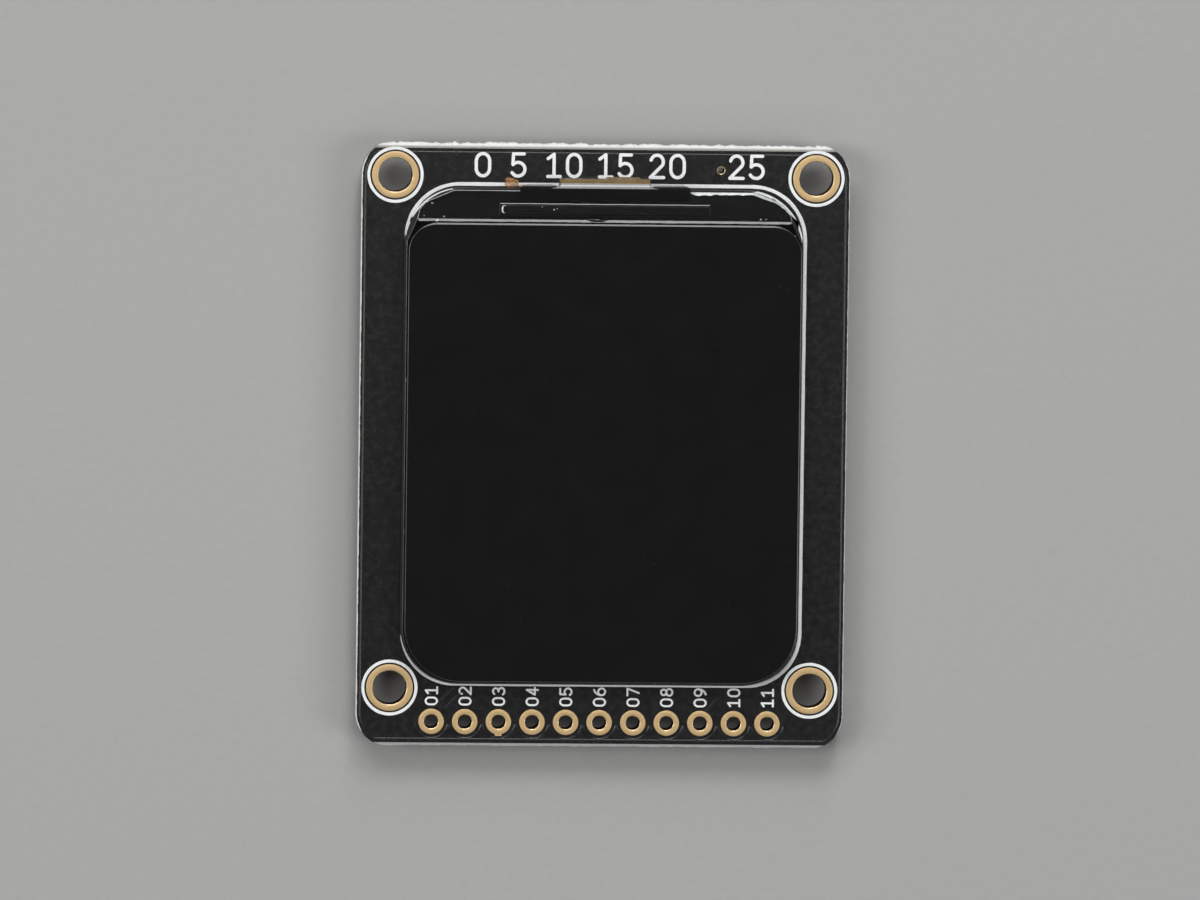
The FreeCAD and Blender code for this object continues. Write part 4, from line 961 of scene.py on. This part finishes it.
spring = make("return_spring", [shell(coil, caps=True)], (wire,), replaces=("slider_spring",))
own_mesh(spring)

# %% [markdown]
# ## The display's frame
#
# The frame is a white moulding, but black tape is folded over its straight sides. Its finish measures the
# distance from the frame's middle along x and y: near a wall and not in a corner it is tape, so only the
# round corners shine white.

# %% White moulding with black sides
white_moulding = grained("white_polycarbonate_moulding", 0.25, ("#dcdddb", "#f3f4f2"), (0.38, 0.52), 0.006,
                         IOR=1.58)
tree = white_moulding.node_tree
white = tree.nodes["Principled BSDF"].inputs["Base Color"].links[0].from_socket
frame_low, frame_high = span("backlight_frame")
frame_half = (frame_high - frame_low) / 2
corner_size, wall_size, corner_blend, wall_blend = 3.6, 0.1, 0.03 * MM, 0.01 * MM
place = add(tree, "TexCoord").outputs["Object"]
centred = add(tree, "VectorMath", {0: place, 1: (frame_low + frame_high) / 2 * MM}, operation="SUBTRACT")
away = add(tree, "VectorMath", {0: centred}, operation="ABSOLUTE")
axis = add(tree, "SeparateXYZ", {"Vector": away})
past = [[add(tree, "Math", {0: axis.outputs[k], 1: (frame_half[k] - size) * MM}, operation="SUBTRACT")
         for k in (0, 1)] for size in (corner_size, wall_size)]
in_corner = add(tree, "Math", {0: past[0][0], 1: past[0][1]}, operation="MINIMUM")
at_wall = add(tree, "Math", {0: past[1][0], 1: past[1][1]}, operation="MAXIMUM")
straight_part = add(tree, "MapRange", {"Value": in_corner, "From Min": corner_blend,
                                       "From Max": -corner_blend})
wall_part = add(tree, "MapRange", {"Value": at_wall, "From Min": -wall_blend, "From Max": wall_blend})
taped = add(tree, "Math", {0: straight_part, 1: wall_part}, operation="MULTIPLY")
dress(tree, Base_Color=add(tree, "Mix", {0: taped, 6: white, 7: linear("#0d0d0d")}, data_type="RGBA"))
print("frame finish:", white_moulding.name)

# %% [markdown]
# ## Finishes for the pieces on the back and inside
#
# Each piece starts from what it is made of and how it was shaped. Stamped steel keeps the rolling lines of
# its sheet. High-temperature plastics of connectors have a fine swirl from glass fibre. Chip packages have
# the dull grain of the spark-cut mould. Fired capacitor bodies are speckled. Solder is bright and lumpy.
# Foam tape shows its cells.

# %% Moulded, stamped and fired finishes
finishes = {
    "foam_tape": grained("black_foam_tape", 0.10, ("#060606", "#1b1b1b"), (0.85, 0.98), 0.04, detail=2.0),
    "white_moulding": white_moulding,
    "reflector": grained("bright_reflector_film", 0.5, ("#dfe4e7", "#f2f5f6"), (0.10, 0.18), 0.001,
                         Metallic=1.0),
    "clear_acrylic": grained("clear_acrylic_guide", 0.3, ("#eef3f4", "#ffffff"), (0.03, 0.09), 0.002,
                             IOR=1.49, Transmission_Weight=0.9),
    "film": grained("hazy_prism_film", 0.05, ("#d5d8dc", "#f1f3f5"), (0.30, 0.50), 0.004, stretch=(1, 40, 1),
                    IOR=1.58, Transmission_Weight=0.5),
    "lamp": grained("phosphor_in_silicone", 0.08, ("#d8b73e", "#f2e08c"), (0.35, 0.55), 0.004, IOR=1.41),
    "polyimide": amber_film,
    "black_polyimide": black_film,
    "black_tape": grained("matt_black_shield_tape", 0.12, ("#0b0b0b", "#171717"), (0.60, 0.80), 0.004),
    "polariser": polariser,
    "glass": glass,
    "sealant": sealant,
    "silicon": silicon,
    "bond_film": grained("cured_bond_film", 0.05, ("#0c0c0c", "#1d1c1a"), (0.15, 0.35), 0.003, IOR=1.55),
    "solder": grained("reflowed_solder", 0.14, ("#b4b6b8", "#e2e4e5"), (0.12, 0.32), 0.012, Metallic=1.0),
    "stamped_steel": grained("tinned_stamped_steel", 0.06, ("#9d9b96", "#cfcdc8"), (0.24, 0.42), 0.003,
                             stretch=(30, 1, 1), Metallic=1.0),
    "black_moulding": grained("black_glass_filled_nylon", 0.12, ("#111213", "#232426"), (0.42, 0.62), 0.008,
                              stretch=(3, 1, 1), IOR=1.53),
    "cream_moulding": grained("natural_liquid_crystal_polymer", 0.14, ("#c9bea2", "#e4dcc6"), (0.40, 0.58),
                              0.008, stretch=(3, 1, 1), IOR=1.6),
    "spring_wire": wire,
    "epoxy": grained("spark_textured_moulding_compound", 0.07, ("#17181a", "#2b2c2f"), (0.55, 0.75), 0.012,
                     IOR=1.55),
    "ceramic": grained("fired_capacitor_ceramic", 0.08, ("#7d6046", "#b3906b"), (0.40, 0.58), 0.006, IOR=1.7),
    "resistor_coat": grained("glazed_resistor_coat", 0.15, ("#0d0d0f", "#1c1d20"), (0.14, 0.30), 0.005,
                             IOR=1.5),
    "solder_mask": mask,
    "gold": gold,
}
slot_of = {entry["node"]: entry["material_slot"] for entry in frame["record"]["subparts"]}
for name, piece in frame["nodes"].items():
    piece.material_slots[0].link = "OBJECT"
    piece.material_slots[0].material = finishes[slot_of[name]]
print(len(frame["nodes"]), "nodes have one of", len(finishes), "finishes")

# %% [markdown]
# ## Rounding the solids that show
#
# Where a part's edges show from near, a copy of its mesh is merged into whole faces and gets a small bevel,
# because no moulded or stamped edge is perfectly sharp, and the highlight along it is what tells the eye how
# thick the sheet or how soft the moulding is. The widths are in millimetres. Two of the parts ride on bodies
# that move.

# %% Softened copies
nearly_flat, beveled_from, shaded_sharp_from = 0.5, 35, 40
bodies = {"flex_connector_latch": "latch", "card_slider": "slider"}
widths = {
    "backlight_frame": 0.05, "card_socket_shell": 0.03, "card_socket_base": 0.03,
    "flex_connector_housing": 0.04, "level_shifter_body": 0.08, "level_shifter_leads": 0.03,
    "regulator_body": 0.07, "regulator_leads": 0.03, "transistor_body": 0.07, "transistor_leads": 0.03,
    "capacitor_bodies": 0.05, "capacitor_ends": 0.07, "resistor_bodies": 0.03, "resistor_ends": 0.06,
    "display_tape": 0.03, "flex_connector_anchors": 0.03, "card_contacts": 0.02,
    "flex_connector_contacts": 0.02, "flex_connector_latch": 0.03, "card_slider": 0.04,
}


def softened(node, width):
    """A copy of a node, merged and with flat faces made whole, beveled where it turns by enough degrees."""
    tidy = bmesh.new()
    tidy.from_mesh(frame["nodes"][node].data)
    bmesh.ops.remove_doubles(tidy, verts=tidy.verts, dist=0.001 * MM)
    bmesh.ops.dissolve_limit(tidy, angle_limit=math.radians(nearly_flat), verts=tidy.verts,
                              edges=tidy.edges)
    mesh = bpy.data.meshes.new(node + "_soft")
    tidy.to_mesh(mesh)
    tidy.free()
    mesh.materials.append(finishes[slot_of[node]])
    body = bodies.get(node, "board")
    made = placed(node + "_soft", mesh, body, (node,), shaded_sharp_from)
    bevel = made.modifiers.new("soft_edges", "BEVEL")
    bevel.width, bevel.segments, bevel.limit_method = width * MM, 2, "ANGLE"
    bevel.angle_limit = math.radians(beveled_from)
    bevel.use_clamp_overlap = True
    bevel.harden_normals = True


for node, width in widths.items():
    softened(node, width)

# %% [markdown]
# ## Lands and solder on the back
#
# Every part on the back sits on gold-plated lands, and reflowed solder climbs a little way up each lead.
# `feet` finds the separate solids of a node from its triangles, and keeps only what touches the board. A
# land is then a thin plate a little larger than the foot, and the solder a low mound on it, flat-topped in
# the middle and falling to the land at its edge.

# %% Lands and mounds
touch, mound_sunk, mound_share = 0.02, 0.02, 0.8
land_depth, land_height, land_bevel = 0.03, 0.01, 0.01


def feet(node):
    """Boxes of a node's feet: points in one place get one number, and each face spreads its lowest."""
    mesh = frame["nodes"][node].data
    points = np.empty(len(mesh.vertices) * 3)
    mesh.vertices.foreach_get("co", points)
    corners = np.empty(len(mesh.loops), int)
    mesh.loops.foreach_get("vertex_index", corners)
    spots, number = np.unique((points.reshape(-1, 3) / MM).round(3), axis=0, return_inverse=True)
    faces = number.ravel()[corners.reshape(-1, 3)]
    island = np.arange(len(spots))
    while True:
        lowest = island.copy()
        np.minimum.at(lowest, faces, island[faces].min(axis=1)[:, None])
        if (lowest == island).all():
            break
        island = lowest
    touching = np.abs(spots[:, 2] - board_low) < touch
    groups = [spots[touching & (island == k)] for k in np.unique(island)]
    return [(g.min(axis=0), g.max(axis=0)) for g in groups if len(g)]


def mound(x0, x1, y0, y1, low, height, n=12):
    """u and v from -1 to 1 over a rectangle: height (1 - u^4) (1 - v^4), hanging below the board."""
    u, v = np.meshgrid(np.linspace(-1, 1, n), np.linspace(-1, 1, n), indexing="ij")
    z = low - height * (1 - np.abs(u) ** 4) * (1 - np.abs(v) ** 4)
    grid = np.stack([(x0 + x1) / 2 + u * (x1 - x0) / 2, (y0 + y1) / 2 + v * (y1 - y0) / 2, z], -1)
    points, faces = shell(grid, ring_columns=False)
    number = np.arange(n * n).reshape(n, n)
    rim = np.concatenate([number[0], number[1:, -1], number[-1, -2::-1], number[-2:0:-1, 0]])
    return points, faces + [(rim[None, :], 0)]


lands, mounds = [], []
for node, grow, height in (("level_shifter_leads", 0.12, 0.07), ("regulator_leads", 0.18, 0.10),
                           ("transistor_leads", 0.18, 0.10), ("capacitor_ends", 0.18, 0.22),
                           ("resistor_ends", 0.16, 0.16), ("flex_connector_contacts", 0.06, 0.06),
                           ("flex_connector_anchors", 0.20, 0.12), ("card_contacts", 0.10, 0.06)):
    for (x0, y0, _), (x1, y1, _) in feet(node):
        land = rounded_line(x0 - grow, x1 + grow, y0 - grow, y1 + grow, min(0.05, grow / 2), 4)
        lands.append(sheet(land, board_low - land_depth, board_low + land_height, land_bevel))
        g = grow * mound_share
        mounds.append(mound(x0 - g, x1 + g, y0 - g, y1 + g, board_low - mound_sunk, height))
make("back_lands", lands, (gold,))
make("back_solder", mounds, (finishes["solder"],))

# %% [markdown]
# ## Ink on the back
#
# The back carries the same plain numbers beside the header holes, rings round the mounting holes, and thin
# frames round the larger parts, as an assembler needs them.

# %% Back ink
frame_gap, frame_width = 0.95, 0.15
back_shells = []
for text, x in pin_numbers:
    back_shells += numbers(text, pin_height, x, pin_y, pin_width, turn=-90, face=-1)
for node in ("level_shifter_body", "regulator_body", "transistor_body"):
    (x0, y0, _), (x1, y1, _) = span(node)
    box = rounded_line(x0 - frame_gap, x1 + frame_gap, y0 - frame_gap, y1 + frame_gap, 0.1, 3)
    back_shells.append(strip(denser(box, 1.0), frame_width, board_low, -ink_height, closed=True,
                             shoulder=0.1))
back_shells += [ink_line(ring, ring_width, board_low, -ink_height) for ring in rings]
make("back_ink", back_shells, (ink,), sharp=40)
